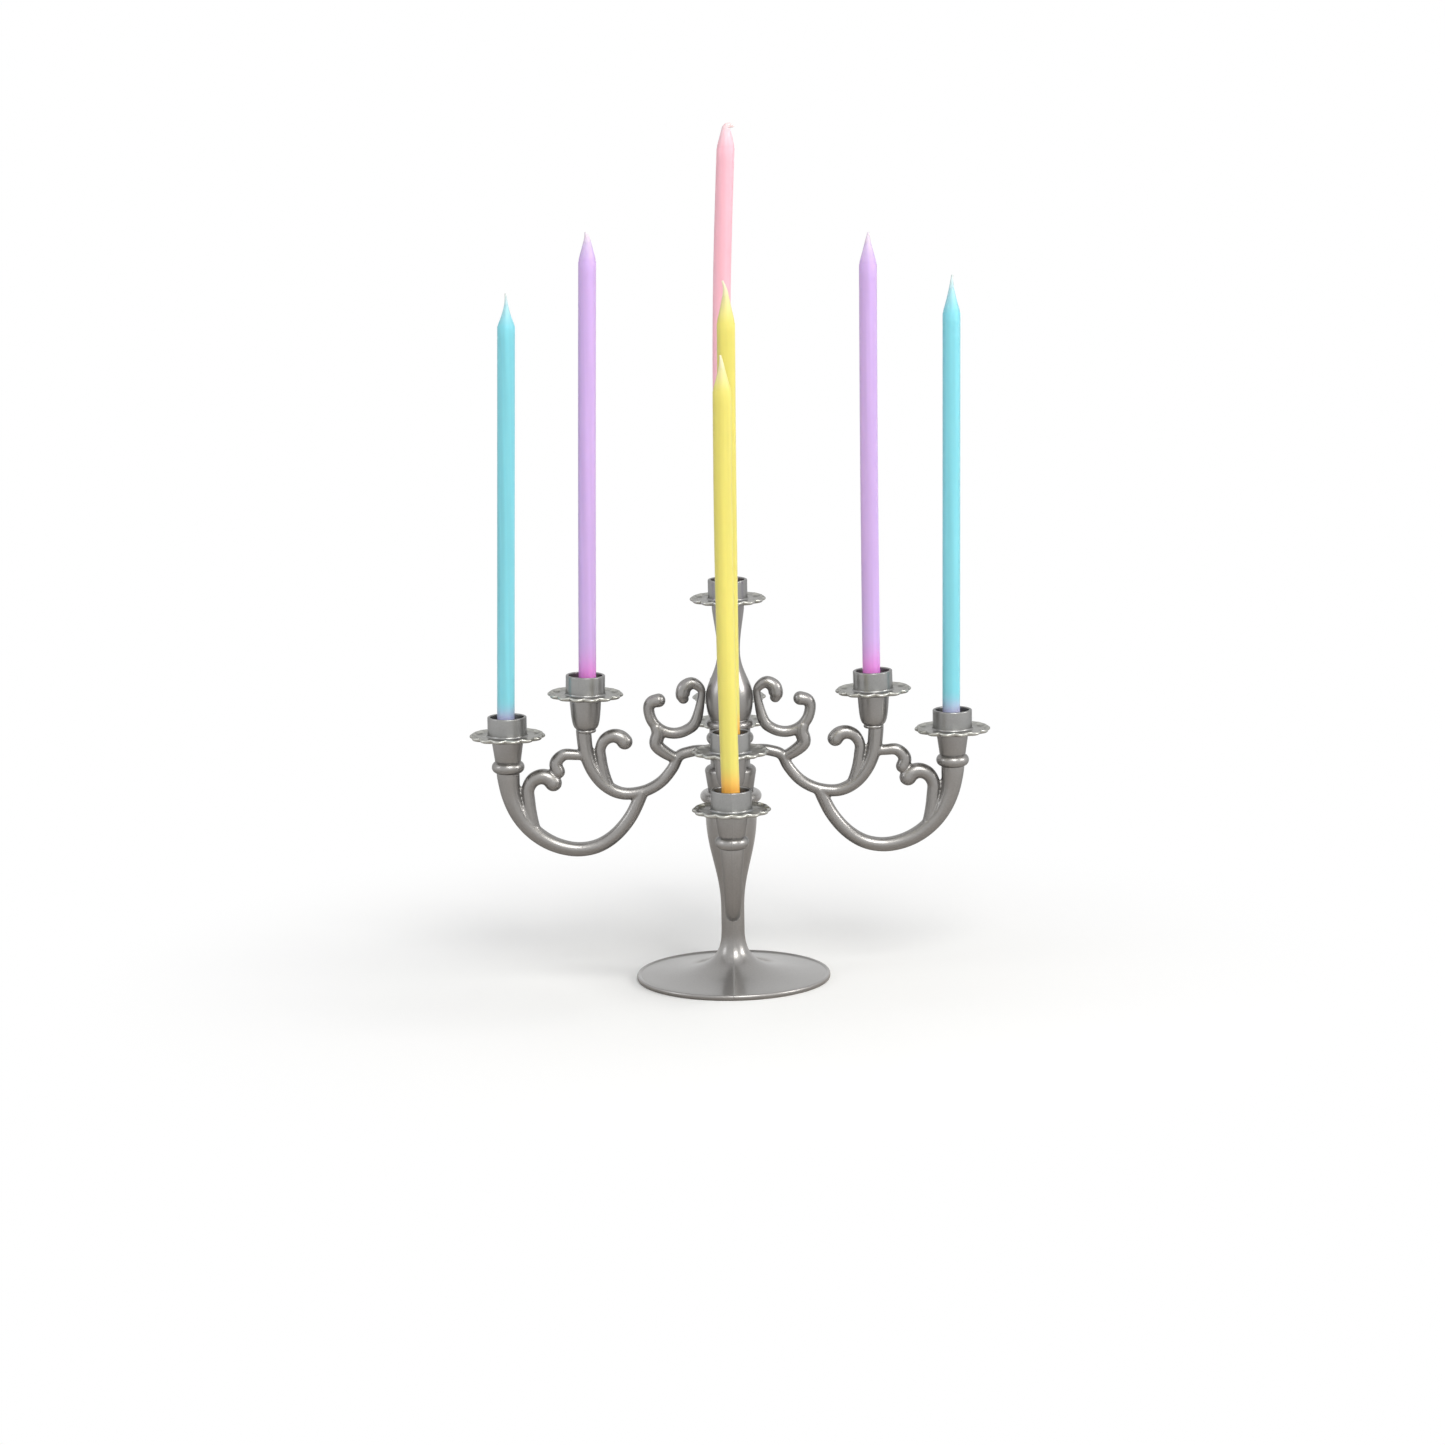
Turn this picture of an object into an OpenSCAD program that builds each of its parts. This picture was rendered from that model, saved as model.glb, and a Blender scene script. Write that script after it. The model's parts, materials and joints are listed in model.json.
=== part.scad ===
// Tabletop candelabra for thin cake candles.
// A trumpet foot carries a tapered stem with a round spigot on top.  Two crossed pairs of
// scrolled arms slip over the spigot one above the other and swivel on it, and a finial
// pressed on the spigot's end keeps them there.  Nine nozzles, each a candle cup with a
// scalloped drip pan, press into the arms and the finial.  Seven hold a candle and two are
// empty.  +Z is up, the origin is the middle of the foot's underside, and the front is -Y.

/* [Foot and stem] */
// Radius of the foot
foot_r = 28.5; // [24:0.5:34]
// Thickness of the foot at its edge
foot_edge = 0.9; // [0.7:0.1:1.5]
// Depth of the recess under the foot
foot_recess = 0.8; // [0.4:0.1:1.2]
// Width of the ring that the foot stands on
foot_ring_w = 3; // [2:0.5:6]
// Radius of the stem at its thinnest
stem_r = 3.4; // [3:0.1:5]
// Height at which the foot has narrowed to the stem
flare_top = 15; // [12:0.5:19]
// Height at which the stem starts to widen into the vase
vase_start = 21; // [19:0.5:26]
// Height of the top of the vase
vase_top = 49; // [44:0.5:51]
// Radius of the vase at its top
vase_r = 7.5; // [6:0.1:8.5]
// Radius of the ring at the top of the stem
ring_r = 9; // [8.5:0.1:10]
// Thickness of that ring
ring_t = 3.4; // [2.5:0.1:4.5]
// Height of the face that the lower arms rest on
seat_z = 56.5; // [55:0.5:60]

/* [Spigot and hubs] */
// Radius of the spigot that the arms turn on
spigot_r = 2.8; // [2.4:0.1:3.2]
// Running clearance between the spigot and the hubs, all round
swivel_fit = 0.06; // [0.03:0.01:0.1]
// Clearance of a pressed joint, all round
press_fit = 0.02; // [0.01:0.01:0.04]
// How far the spigot reaches into the finial
spigot_grip = 9; // [6:0.5:12]
// Height of the lower hub, which is how far the lower arms hang below the upper ones
lower_hub_h = 9.35; // [9:0.05:11]
// Height of the upper hub
upper_hub_h = 8.95; // [8.5:0.05:10]
// Radius of the lower hub at its shoulder
lower_hub_r = 7.5; // [6.9:0.1:8]
// Radius of the hubs at the arms' roots
hub_waist_r = 6.2; // [5.4:0.1:6.8]
// Largest radius of the upper hub, of the finial's ring and of its bulb
crown_r = 6.9; // [6.2:0.1:7.4]
// Clearance between the scrolls and the crown
scroll_gap = 0.4; // [0.25:0.05:0.6]

/* [Finial] */
// Height of the finial's bottom ring
crown_ring_h = 3.1; // [2.6:0.1:4]
// Height of the bulb's widest place above the bottom of the finial
bulb_h = 9.2; // [8:0.1:11]
// Height of the neck's thinnest place above the bottom of the finial
neck_h = 23.2; // [20:0.1:26]
// Radius of the neck at its thinnest
neck_r = 3.3; // [2.8:0.1:4]
// Height of the finial
finial_h = 37.6; // [34:0.1:42]
// Radius of the finial's top
finial_top_r = 4.7; // [4.4:0.1:5]

/* [Arms] */
// Distance from the spigot's axis to the outer nozzles
outer_reach = 65; // [58:0.5:75]
// Distance from the spigot's axis to the inner nozzles
inner_reach = 42; // [39:0.5:46]
// Height of the outer nozzles' seat above the bottom of the hub
outer_seat_h = 7; // [5:0.25:10]
// Height of the inner nozzles' seat above the bottom of the hub
inner_seat_h = 19; // [16:0.25:22]
// Height of the arm's root above the bottom of the hub
root_h = 2.6; // [2.4:0.1:4]
// How far the outer arm dips below the bottom of the hub
outer_dip = 26.4; // [22:0.2:30]
// How far the inner arm dips below the bottom of the hub
inner_dip = 10; // [8:0.1:12]
// Distance from the spigot's axis to the lowest point of the outer arm
outer_low_r = 44.2; // [41:0.1:49]
// Distance from the spigot's axis to the lowest point of the inner arm
inner_low_r = 30; // [28:0.1:33]
// Radius of the outer arm under its socket
outer_arm_r = 3.35; // [2.8:0.05:3.7]
// Radius of the outer arm where it joins the inner arm
outer_tail_r = 1.9; // [1.4:0.1:2.2]
// Radius of the inner arm under its socket
inner_arm_r = 2.25; // [1.9:0.05:2.5]
// Radius of the inner arm at the hub
inner_tail_r = 1.65; // [1.3:0.05:1.9]

/* [Scrolls] */
// Radius of the leaf scroll's stem on the outer arm
outer_leaf_r = 1.95; // [1.5:0.05:2.2]
// Radius of that leaf scroll at its curled end
outer_leaf_end_r = 2.55; // [2.2:0.05:2.8]
// Radius of the leaf scroll's stem on the inner arm
inner_leaf_r = 1.6; // [1.3:0.05:1.9]
// Radius of that leaf scroll at its curled end
inner_leaf_end_r = 2.35; // [1.9:0.05:2.6]
// Radius of the big scroll along its bowl
scroll_rod_r = 1.65; // [1.4:0.05:1.8]
// Radius of the big scroll at its hooked end
scroll_hook_r = 1.95; // [1.6:0.05:2.1]
// Radius of the big scroll beside the finial, where it is thinnest
scroll_waist_r = 1.1; // [0.9:0.05:1.3]
// Radius of the big scroll in its curl
scroll_curl_r = 1.9; // [1.5:0.05:1.95]
// Radius of the big scroll's bowl
bowl_r = 7; // [6:0.1:8]
// Height of the middle of the bowl above the bottom of the hub
bowl_h = 14.8; // [13:0.1:17]
// Radius of the links between the leaf scrolls and the inner arms
arm_link_r = 1.6; // [1.3:0.05:1.9]
// Radius of those links at their curled ends
arm_link_end_r = 2.05; // [1.7:0.05:2.3]
// Radius of the links between the big scrolls and the inner arms
scroll_link_r = 2.05; // [1.6:0.05:2.3]

/* [Sockets and nozzles] */
// Radius of the sockets at their seat
socket_r = 4.6; // [4.4:0.1:5]
// Length of a nozzle's plug
plug_len = 5.2; // [4.8:0.1:5.6]
// Wall of a nozzle's plug
plug_wall = 0.55; // [0.45:0.05:0.7]
// Radius of a drip pan over its scallops
pan_r = 11.1; // [10:0.1:12.5]
// Number of scallops on a drip pan
pan_lobes = 14; // [10:1:18]
// Depth of the notches between the scallops
lobe_depth = 0.8; // [0.3:0.1:1.2]
// Width of a drip pan's raised edge, in the notches
pan_lip = 1; // [0.6:0.1:1.5]
// Height of a drip pan's edge
pan_edge = 1.6; // [1.2:0.1:2]
// Thickness of a drip pan inside its edge
pan_floor = 0.9; // [0.7:0.1:1.1]
// Outer radius of a candle cup
cup_r = 5.75; // [5.4:0.05:6.2]
// Wall of a candle cup
cup_wall = 0.85; // [0.6:0.05:1.1]
// Height of a candle cup's rim above the seat
cup_h = 6.6; // [5.6:0.1:8]
// Height of a candle cup's floor above the seat
cup_floor = 1.6; // [1.2:0.1:2.4]

/* [Candles] */
// Radius of a candle
candle_r = 2.5; // [2.3:0.05:2.6]
// Clearance of a candle in its hole, all round
candle_fit = 0.1; // [0.05:0.01:0.1]
// Length of a candle's tapered tip
candle_tip = 5; // [3:0.5:8]
// Radius of a candle's tip at the wick
tip_r = 0.9; // [0.8:0.05:1.2]
// Radius of the wick inside the wax
wick_r = 0.45; // [0.3:0.05:0.6]
// Radius of the wick's waxed end
wick_end_r = 0.7; // [0.65:0.05:0.8]
// Height of the shoulder above the drip pan, of the candle on the finial
top_candle = 129; // [115:1:140]
// The same, of the candle on the left at the inner nozzle
left_inner_candle = 127.5; // [115:0.5:140]
// The same, of the candle on the left at the outer nozzle
left_outer_candle = 120; // [115:0.5:140]
// The same, of the candle on the right at the inner nozzle
right_inner_candle = 127; // [115:0.5:140]
// The same, of the candle on the right at the outer nozzle
right_outer_candle = 123.5; // [115:0.5:140]
// The same, of the candle in front at the inner nozzle
front_inner_candle = 125; // [115:0.5:140]
// The same, of the candle in front at the outer nozzle
front_outer_candle = 119; // [115:0.5:140]
// Length of the wick above the wax
wick_len = 3.9; // [2:0.1:6]

/* [Hidden] */

$fn = 48;
overlap = 0.5;                  // how far joined shapes run into each other
rod_sides = 10;                 // flats round a scroll's rod
rod_rings = 3;                  // rings between two stations of a rod
lobe_sides = 8;                 // flats round one scallop

lower_z = seat_z;               // bottom of the lower hub
upper_z = lower_z + lower_hub_h;
finial_z = upper_z + upper_hub_h;
top_seat_z = finial_z + finial_h;

hole_r = candle_r + candle_fit;
plug_r = hole_r + plug_wall;
plug_floor = 0.8;               // floor that a candle stands on
candle_z = plug_floor - plug_len;    // a candle's foot, from the nozzle's seat
bead_r = socket_r + 0.2;        // ring round the bottom of an outer socket
bead_drop = 8.4;                // its middle, below the seat
bead_t = 3.6;
collar_drop = 9.4;              // ring round the bottom of an inner socket, below the seat
collar_t = 1;
outer_turn = 11.3;              // where the outer arm starts to turn, below the seat
inner_turn = 11.2;              // the same on the inner arm
inner_set = 0.65;               // how far the inner arm stands outside its socket's axis
leaf_turn = 105;                // angle over which a leaf's curl keeps its shape
leaf_close = 0.63;              // size of the curl after that angle, of that at its start
leaf_end_a = 139;               // place of the leaf's end: angle and share of the curl
leaf_end_k = 0.54;
outer_leaf_curl = 5.3;          // radius of the curl of the leaf on the outer arm
inner_leaf_curl = 5.05;
curl_set = 0.7;                 // how far the big scroll's curl stands inside its bowl
curl_r = 2.45;                  // radius of that curl at its start, and at its top
curl_top_r = 3.5;
hook_turn = 2.45;               // radius that its hooked end turns on
end_tuck = 0.96;                // a rod's last ring, of the ball that rounds its end

silver = "#8f8e8c";
pale_silver = "#a9a8a2";
blue = "#84d5e6";
purple = "#cbaee8";
pink = "#fbb4c4";
yellow = "#ece070";
wick_white = "#f3ece2";

// ---------------------------------------------------------------- curves and rods

function lerp(a, b, t) = a + (b - a) * t;

// Points along an arc of an ellipse in the profile plane, with the end points
function arc_pts(c, rx, ry, from, to, n) =
    [for (i = [0:n]) let (a = lerp(from, to, i / n)) [c[0] + rx * cos(a), c[1] + ry * sin(a)]];

// Points along a cubic curve with two handles, without its last point
function curve_pts(p, q, s, t, n = 12) =
    [for (i = [0:n - 1]) let (u = i / n, v = 1 - u)
        v * v * v * p + 3 * v * v * u * q + 3 * v * u * u * s + u * u * u * t];

// One point of the smooth line through the stations a, b, c and d, between b and c
function through(a, b, c, d, t) =
    0.5 * (2 * b + (c - a) * t + (2 * a - 5 * b + 4 * c - d) * t * t
        + (3 * b - a - 3 * c + d) * t * t * t);

function smooth_path(st) =
    let (last = len(st) - 1)
    concat([for (i = [0:last - 1], j = [0:rod_rings - 1])
        through(st[max(i - 1, 0)], st[i], st[i + 1], st[min(i + 2, last)], j / rod_rings)],
        [st[last]]);

// A round rod along stations [x, z, radius] in the XZ plane
module rod(stations) {
    path = smooth_path(stations);
    last = len(path) - 1;
    points = [for (i = [0:last], k = [0:rod_sides - 1])
        let (p = path[i], d = path[min(i + 1, last)] - path[max(i - 1, 0)],
            l = norm([d[0], d[1]]), a = 360 * (k + 0.5) / rod_sides, r = p[2])
        [p[0] - r * cos(a) * d[1] / l, r * sin(a), p[1] + r * cos(a) * d[0] / l]];
    sides = [for (i = [0:last - 1], k = [0:rod_sides - 1], h = [0:1])
        let (a = i * rod_sides + k, b = i * rod_sides + (k + 1) % rod_sides)
        h == 0 ? [a, b, b + rod_sides] : [a, b + rod_sides, a + rod_sides]];
    near = [for (k = [rod_sides - 1:-1:0]) k];
    far = [for (k = [0:rod_sides - 1]) last * rod_sides + k];
    polyhedron(points, concat([near], sides, [far]), convexity = 6);
}

module knob(at, r) {
    translate([at[0], 0, at[1]]) sphere(r = r);
}

module lathe(outline) {
    rotate_extrude() polygon(outline);
}

// ---------------------------------------------------------------- foot, stem and spigot

module base() {
    ring_z = seat_z - ring_t / 2;
    spigot_top = finial_z + spigot_grip;
    color(silver) lathe(concat(
        [[0, foot_recess], [foot_r - foot_ring_w, foot_recess], [foot_r - foot_ring_w, 0],
            [foot_r - foot_edge / 3, 0], [foot_r, foot_edge / 3]],
        curve_pts([foot_r, foot_edge], [stem_r + 3, foot_edge + 1.4],
            [stem_r, flare_top * 0.4], [stem_r, flare_top], 16),
        [[stem_r, flare_top]],
        curve_pts([stem_r, vase_start], [stem_r, lerp(vase_start, vase_top, 0.4)],
            [vase_r - 0.2, lerp(vase_start, vase_top, 0.6)], [vase_r, vase_top], 14),
        [[vase_r, vase_top], [vase_r - 0.2, seat_z - ring_t]],
        arc_pts([ring_r - ring_t / 2, ring_z], ring_t / 2, ring_t / 2, -90, 90, 8),
        [[spigot_r, seat_z], [spigot_r, spigot_top], [0, spigot_top]]));
}

// ---------------------------------------------------------------- arms

// Places on the centre lines of the arms, from the bottom of the hub
outer_turn_h = outer_seat_h - outer_turn;
inner_turn_h = inner_seat_h - inner_turn;
inner_turn_r = inner_reach + inner_set;

function outer_fall(a) = [outer_low_r + (outer_reach - outer_low_r) * cos(a),
    outer_turn_h - (outer_turn_h + outer_dip) * sin(a)];
function inner_fall(a) = [inner_low_r + (inner_turn_r - inner_low_r) * cos(a),
    inner_turn_h - (inner_turn_h + inner_dip) * sin(a)];

// The inner arm climbs from its lowest point to this place, and bends over to the hub
bend = [hub_waist_r + 10.8, root_h - 5.3];
function inner_rise(a) = [inner_low_r - (inner_low_r - bend[0]) * sin(a) / sin(60),
    (bend[1] + inner_dip) * (1 - cos(a)) / (1 - cos(60)) - inner_dip];

// The outer arm climbs from its lowest point into the inner arm
join = inner_rise(16);
function outer_rise(a) = [outer_low_r - (outer_low_r - join[0]) * sin(a) / sin(60),
    (join[1] + outer_dip) * (1 - cos(a)) / (1 - cos(60)) - outer_dip];

function outer_arm_path() = concat(
    [[outer_reach, outer_seat_h - bead_drop, outer_arm_r]],
    [for (a = [0:15:90]) let (p = outer_fall(a)) [p[0], p[1],
        lerp(outer_arm_r, outer_tail_r, 0.85 * pow(a / 90, 0.5))]],
    [for (a = [15:15:60]) let (p = outer_rise(a)) [p[0], p[1],
        lerp(outer_arm_r, outer_tail_r, 0.85 + 0.15 * a / 60)]]);

function inner_arm_path() = concat(
    [[inner_turn_r, inner_seat_h - collar_drop, inner_arm_r]],
    [for (a = [0:18:90]) let (p = inner_fall(a)) [p[0], p[1],
        lerp(inner_arm_r, inner_tail_r, 0.75 * a / 90)]],
    [for (a = [20:20:60]) let (p = inner_rise(a)) [p[0], p[1],
        lerp(inner_arm_r, inner_tail_r, 0.75 + 0.25 * a / 60)]],
    [[bend[0] - 2, bend[1] + 3.7, inner_tail_r],
        [bend[0] - 5, root_h - 0.4, inner_tail_r],
        [bend[0] - 8, root_h, inner_tail_r],
        [hub_waist_r - 1, root_h - 0.2, inner_tail_r]]);

// ---------------------------------------------------------------- scrolls

// A leaf springs from an arm, stands up, and swells as it curls over towards the stem
function leaf_end(eye, curl) = eye + leaf_end_k * curl * [cos(leaf_end_a), sin(leaf_end_a)];

module leaf(root, eye, curl, stem_r, end_r) {
    top = eye + [curl, 0];
    end = leaf_end(eye, curl);
    rod(concat(
        [for (t = [0:0.25:0.75]) [top[0] - (top[0] - root[0]) * pow(1 - t, 2),
            lerp(root[1], top[1], t), stem_r]],
        [for (a = [0:leaf_turn / 3:leaf_turn]) let (k = curl * lerp(1, leaf_close, a / leaf_turn))
            [eye[0] + k * cos(a), eye[1] + k * sin(a), lerp(stem_r, end_r, 0.85 * a / leaf_turn)]],
        [[end[0], end[1], end_r * end_tuck]]));
    knob(end, end_r);
}

outer_leaf_eye = outer_fall(50) + [-3.5, 13];
inner_leaf_eye = inner_fall(65) + [-2.5, 12.1];

// The link arches from the inner arm out to the curled end of the outer leaf, and swells
module arm_link() {
    start = inner_fall(20);
    end = leaf_end(outer_leaf_eye, outer_leaf_curl) + [-1.5, 3.3];
    rod([[start[0], start[1], arm_link_r],
        [lerp(start[0], end[0], 0.4), start[1] + 0.2, arm_link_r],
        [lerp(start[0], end[0], 0.8), start[1] + 0.2, lerp(arm_link_r, arm_link_end_r, 0.3)],
        [end[0] + 0.6, lerp(start[1], end[1], 0.45), lerp(arm_link_r, arm_link_end_r, 0.7)],
        [end[0], end[1], arm_link_end_r * end_tuck]]);
    knob(end, arm_link_end_r);
}

// The big scroll is an open bowl, thin beside the finial, that swells to a hook at one end
// and to a curl at the other
scroll_x = crown_r + scroll_gap + scroll_waist_r;
bowl_c = [scroll_x + curl_set + bowl_r, bowl_h];
function on_bowl(a, k = 1) = bowl_c + k * bowl_r * [cos(a), sin(a)];

module big_scroll() {
    curl_c = [scroll_x + curl_r, bowl_h + 4.1];
    curl_end = curl_c + curl_r * [cos(-21), sin(-21)];
    curl_end_r = scroll_curl_r * 0.77;
    hook_c = on_bowl(0) + [-hook_turn, 0.4];
    hook_end = hook_c + hook_turn * [cos(100), sin(100)];
    rod(concat(
        [for (a = [100:-50:50]) [hook_c[0] + hook_turn * cos(a), hook_c[1] + hook_turn * sin(a),
            lerp(scroll_rod_r, scroll_hook_r * end_tuck, a / 100)]],
        [for (a = [0:-30:-150]) let (p = on_bowl(a)) [p[0], p[1], scroll_rod_r]],
        [for (a = [180:-45:0]) let (k = lerp(curl_r, curl_top_r, pow(sin(a), 2)))
            [curl_c[0] + k * cos(a), curl_c[1] + k * sin(a),
                lerp(scroll_waist_r, scroll_curl_r, min(1, pow((180 - a) / 120, 1.3)))]],
        [[curl_end[0], curl_end[1], curl_end_r * end_tuck]]));
    knob(curl_end, curl_end_r);
    knob(hook_end, scroll_hook_r);
}

// The scroll's link drops from its bowl to the inner arm
module scroll_link() {
    start = on_bowl(-44);
    end = inner_rise(60) + [-2.1, 2.7];
    rod([[start[0], start[1], scroll_link_r * 0.9],
        [start[0] - 0.6, start[1] - 2.2, scroll_link_r],
        [start[0], lerp(start[1], end[1], 0.55), scroll_link_r],
        [lerp(start[0], end[0], 0.45), lerp(start[1], end[1], 0.82), scroll_link_r * 0.9],
        [end[0], end[1], scroll_link_r * 0.75]]);
}

// ---------------------------------------------------------------- sockets and hubs

module outer_socket() {
    foot_h = bead_t / 2 - bead_drop;
    lathe(concat(
        [[0, foot_h - bead_t]],
        [[outer_arm_r, foot_h - bead_t]],
        arc_pts([bead_r - bead_t / 2, -bead_drop], bead_t / 2, bead_t / 2, -70, 70, 8),
        [[socket_r - 0.8, foot_h], [socket_r, -1], [socket_r, 0], [0, 0]]));
}

module inner_socket() {
    waist_r = inner_arm_r + inner_set;
    lathe(concat(
        [[0, -collar_drop - collar_t], [waist_r - 0.3, -collar_drop - collar_t],
            [waist_r, -collar_drop - collar_t / 2]],
        curve_pts([waist_r - 0.1, -collar_drop], [socket_r - 0.6, 0.5 - collar_drop],
            [socket_r - 0.35, -collar_drop * 0.7], [socket_r, -1], 8),
        [[socket_r, -1], [socket_r, 0], [0, 0]]));
}

module plug_hole() {
    translate([0, 0, -plug_len - 0.2])
        cylinder(h = plug_len + 0.2 + overlap, r = plug_r + press_fit);
}

module arm() {
    difference() {
        union() {
            rod(outer_arm_path());
            rod(inner_arm_path());
            leaf(outer_fall(50), outer_leaf_eye, outer_leaf_curl, outer_leaf_r, outer_leaf_end_r);
            leaf(inner_fall(65), inner_leaf_eye, inner_leaf_curl, inner_leaf_r, inner_leaf_end_r);
            arm_link();
            big_scroll();
            scroll_link();
            translate([outer_reach, 0, outer_seat_h]) outer_socket();
            translate([inner_reach, 0, inner_seat_h]) inner_socket();
        }
        translate([outer_reach, 0, outer_seat_h]) plug_hole();
        translate([inner_reach, 0, inner_seat_h]) plug_hole();
    }
}

// The lower hub is a tapered collar with a round shoulder and a short neck
function lower_hub_outline() = concat(
    [[0, 0], [lower_hub_r - 0.9, 0]],
    arc_pts([lower_hub_r - 1.5, lower_hub_h - 3.5], 1.5, 1.5, 0, 90, 5),
    [[hub_waist_r - 0.4, lower_hub_h - 1.6], [hub_waist_r - 0.4, lower_hub_h], [0, lower_hub_h]]);

// The upper hub has a bead round its top
function upper_hub_outline() = concat(
    [[0, 0], [hub_waist_r, 0], [hub_waist_r, root_h + 1.4]],
    arc_pts([crown_r - 1.7, upper_hub_h - 2.7], 1.7, 1.7, -60, 60, 7),
    [[hub_waist_r - 0.2, upper_hub_h - 0.7], [hub_waist_r - 0.2, upper_hub_h], [0, upper_hub_h]]);

module arm_pair(hub_outline, hub_h) {
    difference() {
        union() {
            for (side = [0, 180]) rotate([0, 0, side]) arm();
            lathe(hub_outline);
        }
        translate([0, 0, -overlap]) cylinder(h = hub_h + 2 * overlap, r = spigot_r + swivel_fit);
    }
}

module lower_arms() {
    color(silver) translate([0, 0, lower_z]) rotate([0, 0, 90])
        arm_pair(lower_hub_outline(), lower_hub_h);
}

module upper_arms() {
    color(silver) translate([0, 0, upper_z]) arm_pair(upper_hub_outline(), upper_hub_h);
}

// ---------------------------------------------------------------- finial

module finial() {
    ring_mid = crown_ring_h / 2;
    ring_bulge = ring_mid - 0.2;
    color(silver) translate([0, 0, finial_z]) difference() {
        lathe(concat(
            [[0, 0], [crown_r - ring_bulge, 0]],
            arc_pts([crown_r - ring_bulge, ring_mid], ring_bulge, ring_bulge, -80, 80, 8),
            curve_pts([crown_r - 1.1, crown_ring_h], [crown_r - 0.4, crown_ring_h + 1.4],
                [crown_r, lerp(crown_ring_h, bulb_h, 0.6)], [crown_r, bulb_h], 8),
            curve_pts([crown_r, bulb_h], [crown_r, lerp(bulb_h, neck_h, 0.36)],
                [neck_r, lerp(bulb_h, neck_h, 0.54)], [neck_r, neck_h], 14),
            curve_pts([neck_r, neck_h], [neck_r, lerp(neck_h, finial_h, 0.3)],
                [finial_top_r - 0.4, lerp(neck_h, finial_h, 0.6)],
                [finial_top_r, finial_h - 2], 10),
            [[finial_top_r, finial_h - 2], [finial_top_r, finial_h], [0, finial_h]]));
        translate([0, 0, -overlap])
            cylinder(h = spigot_grip + overlap, r = spigot_r + press_fit);
        translate([0, 0, finial_h]) plug_hole();
    }
}

// ---------------------------------------------------------------- nozzles

// Where the nozzles stand: [x, y, z] of each seat
function lower_at(side, reach, seat_h) = [0, side * reach, lower_z + seat_h];
function upper_at(side, reach, seat_h) = [side * reach, 0, upper_z + seat_h];
top_at = [0, 0, top_seat_z];
left_inner_at = upper_at(-1, inner_reach, inner_seat_h);
left_outer_at = upper_at(-1, outer_reach, outer_seat_h);
right_inner_at = upper_at(1, inner_reach, inner_seat_h);
right_outer_at = upper_at(1, outer_reach, outer_seat_h);
front_inner_at = lower_at(-1, inner_reach, inner_seat_h);
front_outer_at = lower_at(-1, outer_reach, outer_seat_h);
back_inner_at = lower_at(1, inner_reach, inner_seat_h);
back_outer_at = lower_at(1, outer_reach, outer_seat_h);

// Radius of the scalloped edge at an angle: round lobes with sharp notches between them
function scallop_r(a) = pan_r - lobe_depth * (1 - abs(cos(a * pan_lobes / 2)));

module drip_pan() {
    bowl_r = pan_r - lobe_depth - pan_lip;
    difference() {
        linear_extrude(height = pan_edge)
            polygon([for (i = [0:pan_lobes * lobe_sides - 1])
                let (a = 360 * i / (pan_lobes * lobe_sides)) scallop_r(a) * [cos(a), sin(a)]]);
        translate([0, 0, pan_floor])
            cylinder(h = pan_edge - pan_floor + overlap, r1 = bowl_r - pan_edge + pan_floor,
                r2 = bowl_r + overlap);
    }
}

module nozzle(at) {
    color(pale_silver) translate(at) difference() {
        union() {
            drip_pan();
            cylinder(h = cup_h, r = cup_r);
            translate([0, 0, -plug_len]) cylinder(h = plug_len + overlap, r = plug_r);
        }
        translate([0, 0, cup_floor]) cylinder(h = cup_h, r = cup_r - cup_wall);
        translate([0, 0, candle_z]) cylinder(h = cup_h - candle_z, r = hole_r);
    }
}

module nozzle_top() { nozzle(top_at); }
module nozzle_left_inner() { nozzle(left_inner_at); }
module nozzle_left_outer() { nozzle(left_outer_at); }
module nozzle_right_inner() { nozzle(right_inner_at); }
module nozzle_right_outer() { nozzle(right_outer_at); }
module nozzle_front_inner() { nozzle(front_inner_at); }
module nozzle_front_outer() { nozzle(front_outer_at); }
module nozzle_back_inner() { nozzle(back_inner_at); }
module nozzle_back_outer() { nozzle(back_outer_at); }

// ---------------------------------------------------------------- candles and wicks

module candle(at, height, wax) {
    shoulder = pan_edge / 2 + height;
    color(wax) translate(at) difference() {
        lathe([[0, candle_z], [candle_r, candle_z], [candle_r, shoulder],
            [lerp(candle_r, tip_r, 0.35), shoulder + candle_tip * 0.6],
            [tip_r, shoulder + candle_tip], [0, shoulder + candle_tip]]);
        translate([0, 0, candle_z - overlap])
            cylinder(h = shoulder - candle_z + candle_tip + 2 * overlap, r = wick_r + press_fit);
    }
}

module candle_top() { candle(top_at, top_candle, pink); }
module candle_left_inner() { candle(left_inner_at, left_inner_candle, purple); }
module candle_left_outer() { candle(left_outer_at, left_outer_candle, blue); }
module candle_right_inner() { candle(right_inner_at, right_inner_candle, purple); }
module candle_right_outer() { candle(right_outer_at, right_outer_candle, blue); }
module candle_front_inner() { candle(front_inner_at, front_inner_candle, yellow); }
module candle_front_outer() { candle(front_outer_at, front_outer_candle, yellow); }

module wick(at, height) {
    tip_z = pan_edge / 2 + height + candle_tip;
    color(wick_white) translate(at) lathe([[0, candle_z], [wick_r, candle_z], [wick_r, tip_z],
        [wick_end_r, tip_z], [wick_end_r, tip_z + wick_len - 0.4],
        [wick_end_r - 0.3, tip_z + wick_len], [0, tip_z + wick_len]]);
}

module wick_top() { wick(top_at, top_candle); }
module wick_left_inner() { wick(left_inner_at, left_inner_candle); }
module wick_left_outer() { wick(left_outer_at, left_outer_candle); }
module wick_right_inner() { wick(right_inner_at, right_inner_candle); }
module wick_right_outer() { wick(right_outer_at, right_outer_candle); }
module wick_front_inner() { wick(front_inner_at, front_inner_candle); }
module wick_front_outer() { wick(front_outer_at, front_outer_candle); }

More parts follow.
